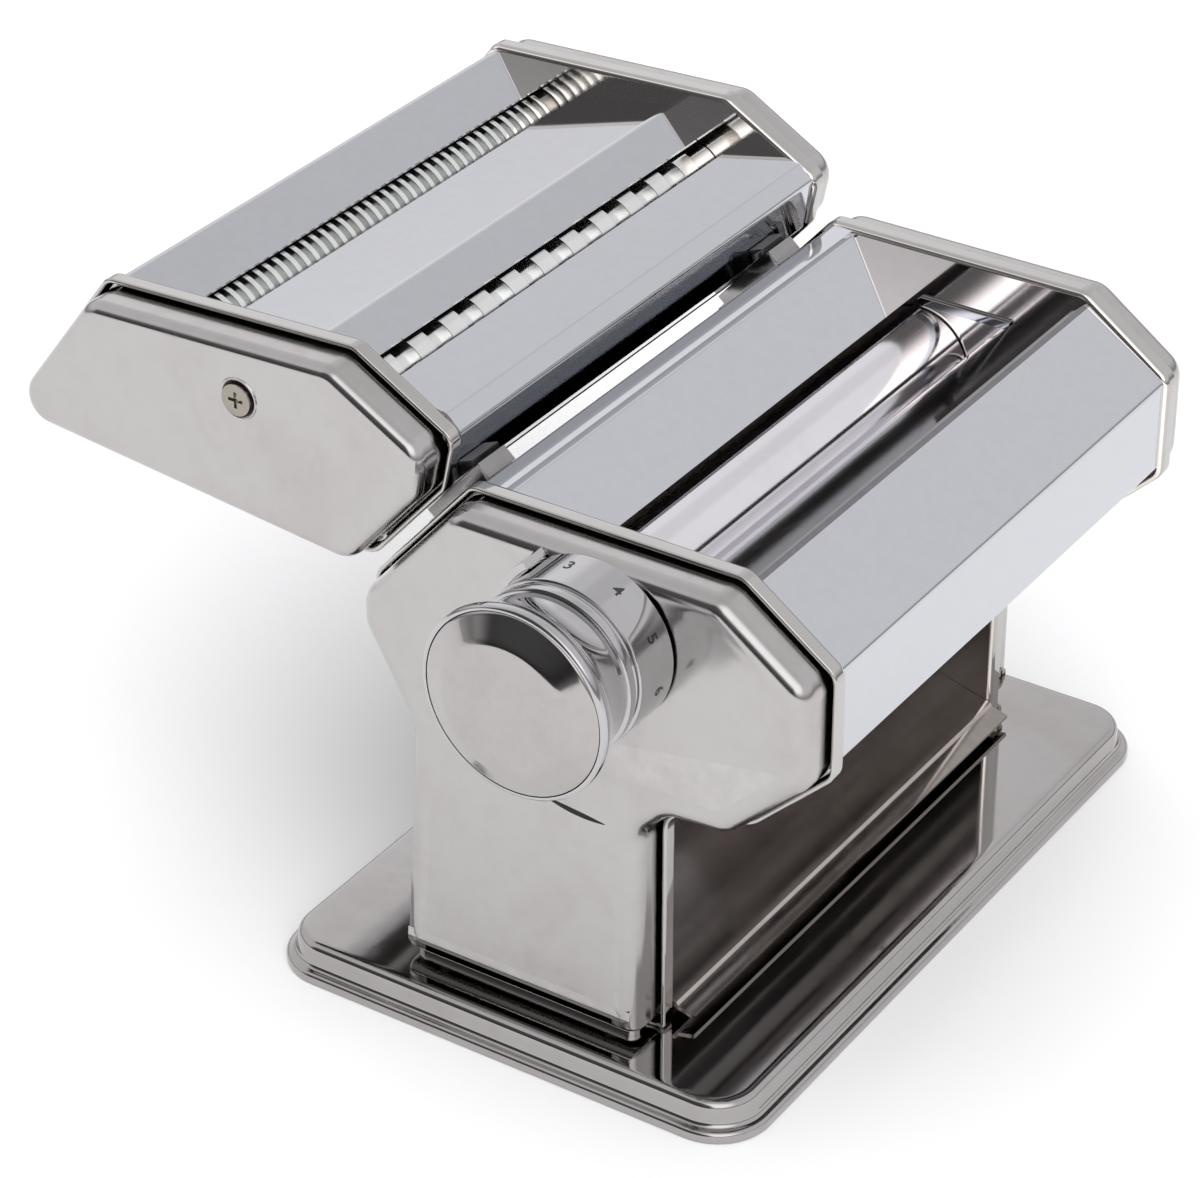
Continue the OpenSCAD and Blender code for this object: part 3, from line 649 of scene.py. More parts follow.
@dataclass
class Shape:
    """Side outline and widths shared by the sheet parts, in millimetres."""

    half: float = 75.0
    rim: float = 4.7
    cover: float = 13.8
    sheet: float = 1.2
    forward: float = 16.0
    base_top: float = 9.0
    head: tuple[Corner, ...] = (
        (-17.5, 9, 1.5), (51.5, 9, 1.5), (47.5, 74, 12), (60.5, 97, 5), (60.5, 106, 5), (34, 136.5, 4),
        (-36, 136.5, 6), (-59.5, 119.5, 5), (-59.5, 93.5, 5), (-39, 73.5, 9), (-23.5, 72.5, 6),
        (-17.5, 66.5, 6))
    cutter: tuple[Corner, ...] = (
        (60.81, 109.83, 6), (146, 118.5, 5), (156, 121.5, 5), (156, 130, 6), (134, 159.3, 4), (64.6, 162, 6),
        (38, 146.5, 4), (40.80, 132.86, 4))

    def place(self, x: float, p: Point) -> Vector:
        """Puts a point of a side outline at x, in the CAD frame."""
        return Vector((x, p[0] - self.forward, p[1]))

    def rings(self, corners: Sequence[Corner], profile: Sequence[Ring], side: float) -> list[list[Vector]]:
        """Loops of an outline at several depths and insets.

        Args:
            corners: The outline.
            profile: (x, inset) of each loop.
            side: -1 for the left side, 1 for the right.

        Returns:
            One loop for each profile point.
        """
        return [[self.place(side * x, p) for p in rounded(inset(corners, k))] for x, k in profile]


SHAPE = Shape()


@dataclass
class SideFrames:
    """Inner side plates with a turned-out, rounded rim, and the feet of the legs."""

    bend: float = 1.6
    edge: float = 0.55
    inner_skin: float = 0.6
    back: tuple[Ring, ...] = ((0.8, 0.0), (0.2, 0.25), (0.0, 0.9))
    foot_plan: tuple[Corner, ...] = ((75.4, -13.4, 0.3), (86, -13.4, 2.5), (86, 47.4, 2.5), (75.4, 47.4, 0.3))
    foot_ring: tuple[Ring, ...] = ((9.02, 0.0), (10.2, 0.0), (10.42, 0.1), (10.5, 0.35))
    foot_middle: float = 80.0

    def profile(self) -> list[Ring]:
        """Ring profile from the inner face, over the bend, out along the rim and back."""
        h, t, d = SHAPE.half, SHAPE.sheet, SHAPE.rim
        inside = quarter(h + self.bend, self.bend, self.bend, self.bend, 180, 270, 6)
        lip = quarter(h + d - self.edge, t / 2, self.edge, t / 2, -90, 90, 8)
        return inside + lip + [(h + t + out, t + k) for out, k in self.back]

    def build(self) -> None:
        """Makes the four side frames and the two feet."""
        for prefix, corners, body in (("", SHAPE.head, Body.MACHINE), ("cutter_", SHAPE.cutter, Body.CUTTER)):
            for side, label in SIDES:
                bm = bmesh.new()
                loft(bm, SHAPE.rings(corners, self.profile(), side))
                # Faces on the inner plate get the lighter copy of the frame steel: painted reflection.
                for f in bm.faces:
                    f.material_index = int(abs(f.calc_center_median().x) < SHAPE.half + self.inner_skin)
                name = f"{prefix}{label}_frame"
                to_object(bm, name + "_sheet", body, FRAME, replaces=[name], inner=LIT_FRAME_INSIDE)
        plan = rounded(self.foot_plan, 8)
        for side, label in SIDES:
            bm = bmesh.new()
            loft(bm, [[SHAPE.place(side * (x if x < self.foot_middle else x - k), (y, z)) for x, y in plan]
                      for z, k in self.foot_ring])
            to_object(bm, f"{label}_frame_foot", Body.MACHINE, FRAME)


@dataclass(frozen=True)
class Eye:
    """A crank socket's opening in a right cover: middle, radius, roller end's radius and body."""

    name: str
    at: Point
    hole: float
    shaft: float
    body: Body


@dataclass
class Covers:
    """Drawn outer covers: rounded side wall, full shoulder and a flat face."""

    inset: float = 1.95
    shoulder: float = 4.5
    shoulder_start: float = 0.05
    shoulder_short: float = 0.6
    shoulder_power: float = 1.1
    bead: float = 2.6
    sink: float = 0.12
    corner: float = 7.0
    foot_corner: float = 1.6
    foot_wall: float = 0.5
    foot_face: float = 0.6
    lift: float = 2.6
    stand_off: float = 0.9
    open_edge: tuple[Ring, ...] = ((3.0, 0.9), (0.15, 0.9), (0.0, 0.45), (0.15, 0.0), (2.0, 0.02))
    leg: tuple[Point, Point] = ((-17.5, 1.5), (51.5, 1.5))
    tail: Corner = (163.2, 120.4, 6.0)
    cutter_scale: float = 0.8
    cup: Point = (90.0, 145.5)
    cup_lip: tuple[Ring, ...] = ((-0.02, 5.2), (0.3, 5.0), (0.36, 4.75), (0.2, 4.45))
    # cup_shade and eye_shade are near-black rings: painted shade in the screw cups and socket openings.
    cup_shade: tuple[Ring, ...] = ((0.2, 4.45), (0.1, 4.2), (0.1, 3.4))
    eye_lip: tuple[Ring, ...] = ((-0.1, 2.6), (0.15, 2.1), (0.55, 1.4), (0.7, 0.8), (0.6, 0.2), (0.1, 0.0))
    eye_shade: tuple[Ring, ...] = ((0.2, 0.3), (0.13, -0.1))
    shaft_depth: float = 0.12
    hole_steps: int = 60
    seam_mm: float = 0.0005
    # The crease below the knob is drawn as a thin near-black strip: painted shadow in the groove.
    crease: tuple[Point, Point] = ((9.4, 69.3), (-7.8, 67.5))
    crease_sag: float = 0.48
    crease_section: tuple[Ring, ...] = ((0.85, 0.0), (0.45, 0.09), (-0.4, 0.09), (-0.8, 0.0))
    eyes: tuple[Eye, ...] = (
        Eye("crank_eye", (8.0, 106.4), 8.5, 6.1, Body.MACHINE),
        Eye("fine_crank_eye", (122.4, 140.5), 6.5, 4.6, Body.CUTTER),
        Eye("wide_crank_eye", (73.0, 140.5), 6.5, 4.6, Body.CUTTER))

    def wall(self, corners: Sequence[Corner]) -> list[Point]:
        """Outline of the side wall, with generous corners.

        Args:
            corners: The cover's outline before it is moved inwards.

        Returns:
            Points round the wall.
        """
        moved = inset(corners, self.inset)
        low = SHAPE.base_top + self.lift + self.foot_wall
        corners = [(y, z, self.foot_corner if z < low else max(self.corner, r)) for y, z, r in moved]
        return rounded(corners, 14)

    def profile(self, scale: float) -> list[Ring]:
        """Ring profile from inside the open edge, over the shoulder and down to the face.

        Args:
            scale: Share of the full shoulder and bead.

        Returns:
            (x, inset) of each loop.
        """
        x0, x1 = SHAPE.half + SHAPE.sheet + self.stand_off, SHAPE.half + SHAPE.cover
        prof: list[Ring] = [(x0 + out, k) for out, k in self.open_edge]
        shoulder, bead = self.shoulder * scale, self.bead * scale
        reach = shoulder - self.shoulder_short
        for k in range(13):
            a = math.radians(90 * k / 12)
            fall = (1 - math.cos(a)) ** self.shoulder_power
            prof.append((x1 - shoulder + shoulder * math.sin(a), self.shoulder_start + reach * fall))
        for k in range(1, 9):
            t = k / 8
            prof.append((x1 - self.sink * t * t * (3 - 2 * t), reach + self.shoulder_start + bead * t))
        return prof

    def loops(self, corners: Sequence[Corner], side: float, scale: float) -> list[list[Vector]]:
        """Loops of the wall's outline at every step of the profile.

        Args:
            corners: The cover's outline before it is moved inwards.
            side: -1 for the left side, 1 for the right.
            scale: Share of the full shoulder and bead.

        Returns:
            One loop for each step; the foot's edge stays level.
        """
        pts = self.wall(corners)
        inward: list[Point] = []
        for i, b in enumerate(pts):
            a, c = pts[i - 1], pts[(i + 1) % len(pts)]
            d0, d1 = unit((b[0] - a[0], b[1] - a[1])), unit((c[0] - b[0], c[1] - b[1]))
            m = unit((d0[0] + d1[0], d0[1] + d1[1]))
            inward.append((-m[1], m[0]))
        foot = SHAPE.base_top + self.lift
        out: list[list[Vector]] = []
        for x, k in self.profile(scale):
            heights = [p[1] + v[1] * k for p, v in zip(pts, inward)]
            levels = [max(z, foot) if p[1] < foot + self.foot_face else z for p, z in zip(pts, heights)]
            out.append([SHAPE.place(side * x, (p[0] + v[0] * k, z)) for p, v, z in zip(pts, inward, levels)])
        return out

    def build(self) -> None:
        """Makes the four covers, the socket eyes and screw cups with near-black rings of painted shade, and the
        near-black strips that paint the creases' shadow.
        """
        low = SHAPE.base_top + self.lift - self.inset
        main_outline = tuple((y, low, r) for y, r in self.leg) + SHAPE.head[2:]
        tail_outline = SHAPE.cutter[:1] + (self.tail,) + SHAPE.cutter[4:]
        for prefix, corners, body, scale in (("", main_outline, Body.MACHINE, 1.0),
                                             ("cutter_", tail_outline, Body.CUTTER, self.cutter_scale)):
            for side, label in SIDES:
                bm = bmesh.new()
                loops = self.loops(corners, side, scale)
                loft(bm, loops, first=False, last=False)
                self.pierced_face(bm, loops[-1], [e for e in self.eyes if side > 0 and e.body is body])
                name = f"{prefix}{label}_cover"
                to_object(bm, name + "_shell", body, COVER, crease=50, replaces=[name])
        face = SHAPE.half + SHAPE.cover - self.sink
        for e in self.eyes:
            lip = [(face + out, e.hole + k) for out, k in self.eye_lip]
            # The shade ring is near black: painted shade in the opening round the roller end.
            shade = [(face + out, e.hole + k) for out, k in self.eye_shade]
            self.ring(f"{e.name}_lip", lip, e.at, 72, 1, e.body, COVER)
            shade += [(face + self.shaft_depth, e.shaft)]
            self.ring(f"{e.name}_shade", shade, e.at, 72, 1, e.body, SHADE_BLACK)
        for side, label in SIDES:
            lip, shade = [[(face + out, r) for out, r in part] for part in (self.cup_lip, self.cup_shade)]
            self.ring(f"cutter_{label}_screw_cup", lip, self.cup, 64, side, Body.CUTTER, COVER)
            # Near-black ring inside the screw cup: painted shade.
            self.ring(f"cutter_{label}_screw_shade", shade, self.cup, 64, side, Body.CUTTER, SHADE_BLACK)
            self.crease_shadow_strip(side, label, face)

    @staticmethod
    def ring(name: str, profile: Sequence[Point], at: Point, steps: int, side: float, body: Body,
             finish: Finish) -> None:
        """Turns an open ring that stands on a cover's flat face.

        Args:
            name: Piece name.
            profile: Points of (x, radius).
            at: Middle of the ring in the side view.
            steps: Pieces round the ring.
            side: -1 for the left side, 1 for the right.
            body: Body it rides on.
            finish: Its finish.
        """
        bm = bmesh.new()
        lathe(bm, profile, at[0] - SHAPE.forward, at[1], steps, side, ends=False)
        to_object(bm, name, body, finish)

    def pierced_face(self, bm: Mesh, edge: Sequence[Vector], eyes: Sequence[Eye]) -> None:
        """Fills the flat face of a cover, leaving round holes.

        Args:
            bm: Mesh to add to.
            edge: Outline of the flat face.
            eyes: The openings to leave.
        """
        rings = [list(edge)]
        turns = [2 * math.pi * k / self.hole_steps for k in range(self.hole_steps)]
        for e in eyes:
            round_hole = [(e.at[0] + e.hole * math.cos(a), e.at[1] + e.hole * math.sin(a)) for a in turns]
            rings.append([SHAPE.place(edge[0].x, p) for p in round_hole])
        verts = [bm.verts.new(v) for part in rings for v in part]
        flat = [[Vector((v.y, v.z, 0)) for v in part] for part in rings]
        for a, b, c in tessellate_polygon(flat):
            if len({a, b, c}) == 3:
                bm.faces.new([verts[a], verts[b], verts[c]])
        bmesh.ops.remove_doubles(bm, verts=bm.verts, dist=self.seam_mm)
        bmesh.ops.recalc_face_normals(bm, faces=bm.faces)

    def crease_shadow_strip(self, side: float, label: str, face: float) -> None:
        """A thin near-black strip along the short crease left by drawing the head out of the leg: painted
        shadow in the groove.

        Args:
            side: -1 for the left side, 1 for the right.
            label: Side name.
            face: Where the flat face is.
        """
        (y0, z0), (y1, z1) = self.crease
        root = face - 0.02
        loops: list[list[Vector]] = []
        for k in range(25):
            t = k / 24
            swell = math.sin(math.pi * t) ** 0.7
            y, z = y0 + (y1 - y0) * t, z0 + (z1 - z0) * t - self.crease_sag * math.sin(math.pi * t)
            loops.append([SHAPE.place(side * (root + h * swell), (y, z + w * swell))
                          for w, h in self.crease_section])
        bm = bmesh.new()
        loft(bm, loops, first=False, last=False, closed=False)
        # Near-black finish: painted shadow of the crease.
        to_object(bm, f"{label}_cover_crease_shadow", Body.MACHINE, SHADE_BLACK, crease=80)


def tray_bow() -> tuple[Corner, ...]:
    """The long bow of the dough tray, as points of an arc in the side view."""
    y, z, radius, first, sweep, steps = -52, 172.6, 163, -77.6, 23.1, 24
    turns = [math.radians(first + sweep * k / steps) for k in range(steps + 1)]
    return tuple((y + radius * math.cos(a), z + radius * math.sin(a), 0.0) for a in turns)


@dataclass(frozen=True)
class Panel:
    """One bent sheet: side view with bend radii, and which side its thickness is on."""

    name: str
    path: tuple[Corner, ...]
    side: float = -1
    body: Body = Body.MACHINE
    finish: Finish = MIRROR
    end: float = 75.0
    # Whether the inner faces wear the near-black painted-shade finish.
    shaded_inside: bool = True


@dataclass
class Sheets:
    """Bent sheet parts between the side frames."""

    t: float = 1.0
    panels: tuple[Panel, ...] = (
        Panel("front_panel", ((-51.5, 95.2, 0), (-58.3, 95.2, 1.2), (-58.3, 118.9, 2.2), (-37.4, 133.3, 0))),
        Panel("front_hopper_plate", ((-37.4, 133.3, 0), (-36.41, 133.98, 0.7), (-35.2, 133.7, 0.8),
                                     (-18.3, 123.8, 0)), finish=SHADED_HOPPER),
        Panel("rear_panel", ((27.5, 135.7, 0), (33.04, 135.7, 1.2), (59.1, 105.7, 2), (59.1, 98, 2),
                             (53.5, 88, 0))),
        Panel("rear_hopper_plate", ((27.5, 134.7, 0), (26.3, 134.5, 0.8), (9.0, 123.8, 0)), 1),
        Panel("dough_tray", ((-22.5, 11.2, 0), (-17.5, 12.4, 1.5)) + tray_bow(), 1, finish=SHADED_TRAY, end=74.9,
              shaded_inside=False),
        Panel("cutter_rear_plate", ((119.7, 151.1, 0), (133, 158.3, 1.6), (155, 129.6, 1.6), (155, 122.2, 2),
                                    (148, 120, 0)), body=Body.CUTTER),
        Panel("cutter_centre_plate", ((69.5, 151.5, 0), (80, 156.1, 2.5), (107.8, 151.5, 0)),
              body=Body.CUTTER),
        Panel("cutter_front_plate", ((46.83, 126.83, 0), (41.58, 132.87, 1.5), (39.3, 146, 1.8),
                                     (43, 149.6, 1.4), (59, 152.1, 0)), body=Body.CUTTER))

    def build(self) -> None:
        """Makes the panels, hopper plates, tray and cutter plates; inner faces get a dull, near-black finish as
        painted shade.
        """
        for p in self.panels:
            section = sheet_section(p.path, p.side * self.t)
            bm = bmesh.new()
            loft(bm, [[SHAPE.place(x, c) for c in section] for x in (-p.end, p.end)])
            # The inner half of the section is marked for the painted-shade finish.
            if p.shaded_inside:
                bm.faces.ensure_lookup_table()
                for i in range(len(section) // 2, len(section) - 1):
                    bm.faces[i].material_index = 1
            inner = INSIDE_SHADE if p.shaded_inside else None
            to_object(bm, p.name + "_sheet", p.body, p.finish, crease=28, replaces=[p.name], inner=inner)


@dataclass
class BasePlate:
    """Stamped base: two tiers with rounded edges."""

    length: float = 201.0
    width: float = 132.0
    height: float = 9.0
    corner: float = 14.0
    skirt: tuple[Ring, ...] = ((0.02, 1.2), (0.0, 0.4), (0.1, 0.1), (0.3, 0.0), (1.7, 0.0))
    step: tuple[Ring, ...] = ((2.95, 1.7), (3.1, 2.05), (3.5, 2.4), (4.2, 2.65), (7.0, 2.95))
    lower_round: tuple[float, ...] = (1.7, 1.2, 1.15, 1.2)
    upper_round: tuple[float, ...] = (7.0, 4.95, 2.0, 2.0)
    flat: float = 6.0

    def build(self) -> None:
        """Makes the pressed plate."""
        x, y = self.length / 2, self.width / 2
        plan = [(a * x, b * y, self.corner) for a, b in ((-1, -1), (1, -1), (1, 1), (-1, 1))]
        prof = list(self.skirt) + quarter(*self.lower_round, -90, 0, 6)[1:] + list(self.step)
        prof += quarter(*self.upper_round, -90, 0, 8)[1:] + [(self.height, self.flat)]
        loops = [[Vector((p[0], p[1], z)) for p in rounded(inset(plan, k), 14)] for z, k in prof]
        bm = bmesh.new()
        loft(bm, loops, first=False)
        to_object(bm, "base_plate_pressing", Body.MACHINE, BASE, crease=60, replaces=["base_plate"])


@dataclass
class DoughRollers:
    """The two smooth rollers, with broken edges; the rear one has the crank socket."""

    radius: float = 14.0
    journal: float = 6.0
    half: float = 74.7
    z: float = 106.4
    rear: tuple[float, float, float] = (-8.0, -79.4, 90.3)
    front: tuple[float, float, float] = (-36.3, -80.5, 86.5)
    edge: tuple[Ring, ...] = ((0.0, 0.6), (0.15, 0.2), (0.6, 0.0))
    chamfer: float = 0.5
    socket: float = 3.0
    socket_edge: float = 0.1
    socket_depth: float = 20.0

    def build(self) -> None:
        """Turns both rollers."""
        r, j, h, c, s = self.radius, self.journal, self.half, self.chamfer, self.socket
        barrel = [(-h, j)] + [(-h + a, r - b) for a, b in self.edge]
        barrel += [(h - a, r - b) for a, b in reversed(self.edge)] + [(h, j)]
        for name, (y, left, right), body in (("rear_roller", self.rear, Body.REAR_ROLLER),
                                             ("front_roller", self.front, Body.FRONT_ROLLER)):
            prof = [(left, 0), (left, j - c), (left + c, j)] + barrel + [(right - c, j), (right, j - c)]
            if body is Body.REAR_ROLLER:
                bottom = right - self.socket_depth
                prof += [(right, s + self.socket_edge), (right - self.socket_edge, s), (bottom, s), (bottom, 0)]
            else:
                prof += [(right, 0)]
            bm = bmesh.new()
            lathe(bm, prof, y, self.z, 128)
            to_object(bm, name + "_turned", body, ROLLER, replaces=[name])


@dataclass
class CutterRollers:
    """Four rollers of meshing discs; the rear one of each pair has a crank socket."""

    disc: float = 9.5
    core: float = 7.4
    journal: float = 4.5
    fit: float = 0.1
    z: float = 140.5
    span: float = 147.0
    half: float = 74.7
    reach: float = 74.2
    edge: float = 0.25
    left: float = -78.4
    plain_end: float = 84.2
    socket_end: float = 89.3
    chamfer: float = 0.4
    socket: float = 3.0
    socket_depth: float = 20.0

    def one(self, name: str, y: float, w: float, driven: bool, body: Body) -> None:
        """Turns one roller.

        Args:
            name: CAD node it stands for.
            y: Axis position in the CAD frame.
            w: Strip width.
            driven: The roller has a crank socket; else its discs stand in the other one's grooves.
            body: Body it rides on.
        """
        n, half = int(self.span / (2 * w) / 2), (w - self.fit) / 2
        d, c, j, s, e = self.disc, self.core, self.journal, self.socket, self.socket_end
        edge = min(self.edge, half * 0.3)
        near = edge * 0.3
        prof: list[Point] = [(self.left, 0), (self.left, j), (-self.half, j), (-self.half, c)]
        for k in range(-n, n + 1):
            x = 2 * w * k + (0 if driven else w)
            if abs(x) + w / 2 < self.reach:
                prof += [(x - half, c), (x - half, d - edge), (x - half + near, d - near), (x - half + edge, d),
                         (x + half - edge, d), (x + half - near, d - near), (x + half, d - edge), (x + half, c)]
        prof += [(self.half, c), (self.half, j)]
        if driven:
            bottom = e - self.socket_depth
            prof += [(e - self.chamfer, j), (e, j - self.chamfer), (e, s), (bottom, s), (bottom, 0)]
        else:
            prof += [(self.plain_end, j), (self.plain_end, 0)]
        bm = bmesh.new()
        lathe(bm, prof, y, self.z, 64)
        to_object(bm, name + "_discs", body, DISC, replaces=[name])

    def build(self) -> None:
        """Makes the four rollers."""
        self.one("fine_rear_cutter", 106.4, 1.8, True, Body.FINE_REAR)
        self.one("fine_front_cutter", 89.0, 1.8, False, Body.FINE_FRONT)
        self.one("wide_rear_cutter", 57.0, 6.2, True, Body.WIDE_REAR)
        self.one("wide_front_cutter", 39.6, 6.2, False, Body.WIDE_FRONT)


@dataclass
class GapKnob:
    """Chromed knob with a numbered collar, grooves, a flared grip and a domed face."""

    y: float = -21.0
    z: float = 116.0
    cover: float = 88.8
    collar: float = 20.2
    rim: float = 23.2
    length: float = 32.2
    neck: Ring = (18.7, -1.2)
    neck_end: Ring = (-3.4, -0.9)
    bow: float = 0.75
    collar_steps: tuple[Ring, ...] = (
        (1.5, -3.4), (0.5, -3.2), (0.5, -0.5), (0.7, -0.15), (1.1, 0), (12.9, 0), (13.3, -0.12), (13.5, -0.5),
        (13.6, -1.0), (14.0, -1.15), (14.6, -1.0), (14.8, -0.5), (15.2, -0.25), (16.3, -0.2), (17.2, -0.3),
        (17.5, -0.7), (17.6, -1.2), (18.1, -1.3))
    rim_steps: tuple[Ring, ...] = ((-2.6, -0.35), (-1.9, -0.05), (-1.2, 0), (-0.5, -0.12), (-0.15, -0.45),
                                   (0, -0.8), (0, -1.15), (-0.9, -1.25))
    recess: float = 1.2
    seam_steps: tuple[Ring, ...] = ((-0.9, -1.25), (-0.2, -1.3), (0.12, -1.5), (0.3, -1.9))
    cone: Ring = (2.8, 5.3)
    cone_shares: tuple[float, ...] = (0.06, 0.2, 0.4, 0.6, 0.8, 0.94)
    centre: tuple[Ring, ...] = ((3.2, 15.65), (3.36, 15.15), (3.45, 14.6), (3.48, 14.0), (3.485, 10), (3.49, 0))
    digits: int = 9
    digit_size: float = 4.455
    digit_stroke: float = 0.06
    digit_at: float = 6.2
    digit_first: float = 10.0
    digit_step: float = 36.0
    ink: float = 0.05

    def build(self) -> None:
        """Makes the grip, the face and the dial numbers."""
        self.grip()
        self.face()
        self.numbers()

    def turned(self, name: str, prof: Sequence[Point], finish: Finish, node: str, crease: float = 30) -> None:
        """Turns a part of the knob.

        Args:
            name: Piece name.
            prof: Distance from the cover and radius.
            finish: Its finish.
            node: CAD node it stands for.
            crease: Sharp edge angle in degrees.
        """
        bm = bmesh.new()
        lathe(bm, [(self.cover + a, r) for a, r in prof], self.y, self.z, 160, -1)
        to_object(bm, name, Body.KNOB, finish, crease=crease, replaces=[node])

    def grip(self) -> None:
        """Collar, two grooves, concave neck and flared rim."""
        c, k, n = self.collar, self.rim, self.length
        x0, r0 = self.neck[0], c + self.neck[1]
        x1, r1 = n + self.neck_end[0], k + self.neck_end[1]
        prof: list[Point] = [(x, c + r) for x, r in self.collar_steps] + [(x0, r0)]
        for i in range(1, 17):
            t = i / 16
            prof.append((x0 + (x1 - x0) * t, r0 + (r1 - r0) * ((1 - self.bow) * t + self.bow * t * t)))
        prof += [(n + x, k + r) for x, r in self.rim_steps] + [(n - self.recess, 0)]
        self.turned("knob_grip_turned", prof, KNOB, "knob_grip")

    def face(self) -> None:
        """Pressed face: a narrow seam, a soft cone and a raised flat centre."""
        k, n = self.rim, self.length
        prof: list[Point] = [(n + x, k + r) for x, r in self.seam_steps]
        x0, r0 = prof[-1]
        prof += [(x0 + self.cone[0] * t, r0 - self.cone[1] * t) for t in self.cone_shares]
        prof += [(n + x, r) for x, r in self.centre]
        self.turned("knob_face_pressed", prof, KNOB_FACE, "knob_face", crease=50)

    def numbers(self) -> None:
        """Black dial numbers 1 to 9 printed round the collar."""
        bm = bmesh.new()
        r = self.collar + self.ink
        for i in range(self.digits):
            curve = bpy.data.curves.new("digit", "FONT")
            curve.body = str(i + 1)
            curve.size = self.digit_size
            curve.align_x, curve.align_y = "CENTER", "CENTER"
            curve.offset = self.digit_stroke
            temp = linked("digit", curve)
            bpy.context.view_layer.update()
            flat = temp.evaluated_get(bpy.context.evaluated_depsgraph_get()).to_mesh()
            part = bmesh.new()
            part.from_mesh(flat)
            bmesh.ops.subdivide_edges(part, edges=part.edges, cuts=1)
            a0 = math.radians(self.digit_first + self.digit_step * i)
            lookup = {}
            for v in part.verts:
                a = a0 + v.co.x / r
                x = -(self.cover + self.digit_at - v.co.y)
                lookup[v] = bm.verts.new((x, self.y + r * math.cos(a), self.z + r * math.sin(a)))
            for f in part.faces:
                bm.faces.new([lookup[v] for v in f.verts])
            part.free()
            bpy.data.objects.remove(temp)
            bpy.data.curves.remove(curve)
        to_object(bm, "dial_numbers", Body.KNOB, INK)


# ---------------------------------------------------------------- stage


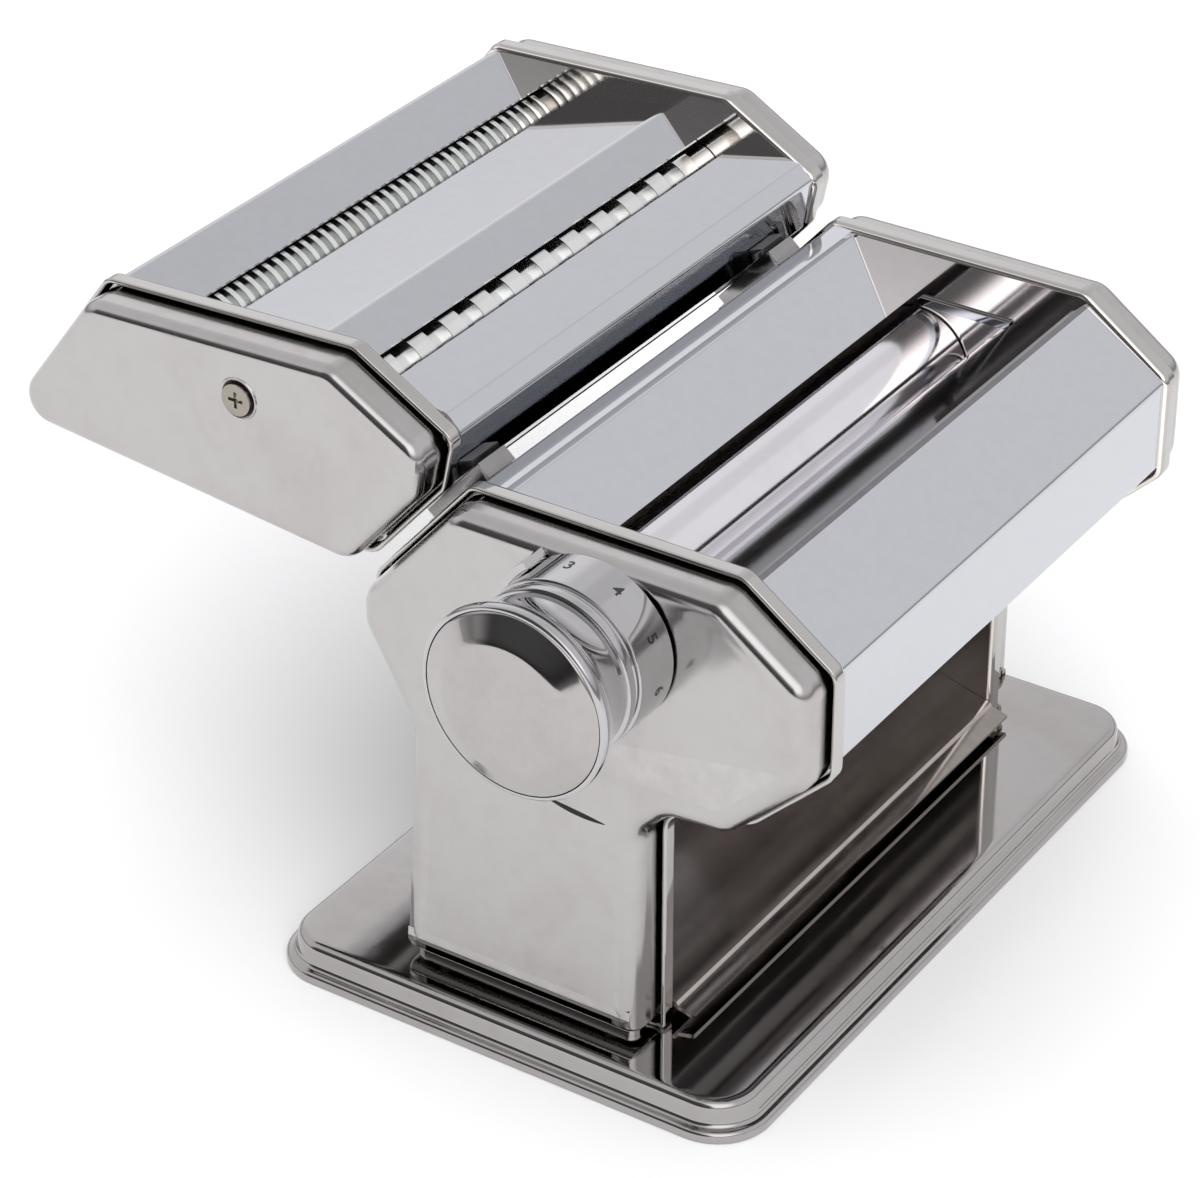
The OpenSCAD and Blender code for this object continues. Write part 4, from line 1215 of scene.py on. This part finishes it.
@dataclass
class Studio:
    """Pale floor, soft lights and the camera."""

    target: Vector = field(default_factory=lambda: Vector((-64.59, -6.08, 110.47)) * MM)
    azimuth: float = -56.78
    elevation: float = 31.52
    distance: float = 903.75 * MM
    lens: float = 122.52
    sensor: float = 36.0
    floor_size: float = 6.0
    floor_tone: float = 0.9
    tones: tuple[Point, ...] = ((0.0, 0.5), (0.06, 0.30), (0.16, 0.62), (0.34, 0.92), (0.70, 0.90),
                                (1.0, 0.75))
    glows: tuple[tuple[Corner, float, float, float], ...] = (((-0.60, -0.45, 0.66), 0.80, 0.99, 1.1),
                                                             ((0.71, 0.61, 0.35), 0.93, 0.99, 0.25))
    cards: tuple[tuple[Corner, float, float, float], ...] = (((-0.93, 0.22, 0.25), 0.76, 0.90, 0.88),
                                                             ((0.713, -0.02, 0.70), 0.976, 0.993, 0.12))
    lights: tuple[tuple[str, Corner, float, float], ...] = (("key", (-1.5, -1.1, 2.0), 2.2, 26),
                                                            ("top", (-0.3, 0.5, 2.6), 2.6, 24))

    def build(self) -> None:
        """Sets up the floor, surroundings, lights and camera."""
        self.floor()
        self.surroundings()
        for name, at, size, power in self.lights:
            self.softbox(name, at, size, power)
        self.camera()

    def floor(self) -> None:
        """A large pale floor."""
        bm = bmesh.new()
        s = self.floor_size / 2
        bm.faces.new([bm.verts.new(p) for p in ((-s, -s, 0), (s, -s, 0), (s, s, 0), (-s, s, 0))])
        mesh = bpy.data.meshes.new("floor")
        bm.to_mesh(mesh)
        bm.free()
        obj = linked("floor", mesh)
        mat = bpy.data.materials.new("floor_paper")
        mat.use_nodes = True
        shader = mat.node_tree.nodes["Principled BSDF"]
        shader.inputs["Base Color"].default_value = (self.floor_tone, self.floor_tone, self.floor_tone, 1)
        shader.inputs["Roughness"].default_value = 0.9
        mesh.materials.append(mat)

    def surroundings(self) -> None:
        """A room that is pale above and dim towards the horizon, with glows and dark cards."""
        world = bpy.data.worlds.new("studio")
        bpy.context.scene.world = world
        world.use_nodes = True
        tree = world.node_tree
        back = tree.nodes["Background"]
        split = tree.nodes.new("ShaderNodeSeparateXYZ")
        where = tree.nodes.new("ShaderNodeTexCoord").outputs["Generated"]
        tree.links.new(where, split.inputs[0])
        ramp = tree.nodes.new("ShaderNodeValToRGB")
        while len(ramp.color_ramp.elements) < len(self.tones):
            ramp.color_ramp.elements.new(0.5)
        for e, (at, v) in zip(ramp.color_ramp.elements, self.tones):
            e.position = at
            e.color = (v, v * 0.99, v * 1.01, 1)
        tree.links.new(split.outputs["Z"], ramp.inputs["Fac"])
        tree.links.new(ramp.outputs["Color"], back.inputs["Color"])
        level: object = 1.0
        for towards, edge, core, amount in self.glows:
            level = math_node(tree, "ADD", level, self.patch(tree, where, towards, edge, core, amount))
        for towards, edge, core, amount in self.cards:
            shade = math_node(tree, "SUBTRACT", 1.0, self.patch(tree, where, towards, edge, core, amount))
            level = math_node(tree, "MULTIPLY", level, shade)
        tree.links.new(level, back.inputs["Strength"])

    @staticmethod
    def patch(tree: Tree, where: Socket, towards: Corner,
              edge: float, core: float, amount: float) -> Socket:
        """A soft round patch of the surroundings.

        Args:
            tree: The world's tree.
            where: Direction looked in.
            towards: Middle of the patch.
            edge: Cosine of the angle where it starts.
            core: Cosine of the angle where it is full.
            amount: Its strength.

        Returns:
            The strength in each direction.
        """
        dot = tree.nodes.new("ShaderNodeVectorMath")
        dot.operation = "DOT_PRODUCT"
        tree.links.new(where, dot.inputs[0])
        dot.inputs[1].default_value = Vector(towards).normalized()
        return remap(tree, dot.outputs["Value"], edge, core, 0.0, amount)

    def softbox(self, name: str, at: Corner, size: float, power: float) -> None:
        """A soft square light aimed at the machine.

        Args:
            name: Light name.
            at: Position in metres.
            size: Side of the square in metres.
            power: Watts.
        """
        light = bpy.data.lights.new(name, "AREA")
        light.shape, light.size, light.size_y, light.energy = "RECTANGLE", size, size, power
        obj = linked(name, light)
        obj.location = at
        obj.rotation_euler = (self.target - Vector(at)).to_track_quat("-Z", "Y").to_euler()
        obj.visible_glossy = False

    def camera(self) -> None:
        """The camera, looking down from the front left."""
        a, e = math.radians(self.azimuth), math.radians(self.elevation)
        away = Vector((math.sin(a) * math.cos(e), -math.cos(a) * math.cos(e), math.sin(e)))
        cam = bpy.data.cameras.new("camera")
        cam.lens, cam.sensor_width, cam.clip_start, cam.clip_end = self.lens, self.sensor, 0.05, 20.0
        obj = linked("camera", cam)
        obj.location = self.target + away * self.distance
        obj.rotation_euler = (-away).to_track_quat("-Z", "Y").to_euler()
        bpy.context.scene.camera = obj


def main() -> None:
    """Builds the machine and its stage."""
    logging.basicConfig(level=logging.INFO, format="%(name)s: %(message)s")
    dress_carried()
    for part in (BasePlate(), SideFrames(), Covers(), Sheets(), DoughRollers(), CutterRollers(), GapKnob()):
        part.build()
        LOG.info("%s done", type(part).__name__)
    Studio().build()
    view = bpy.context.scene.view_settings
    view.view_transform = "Standard"
    view.exposure = 0.0


if __name__ == "__main__":
    main()
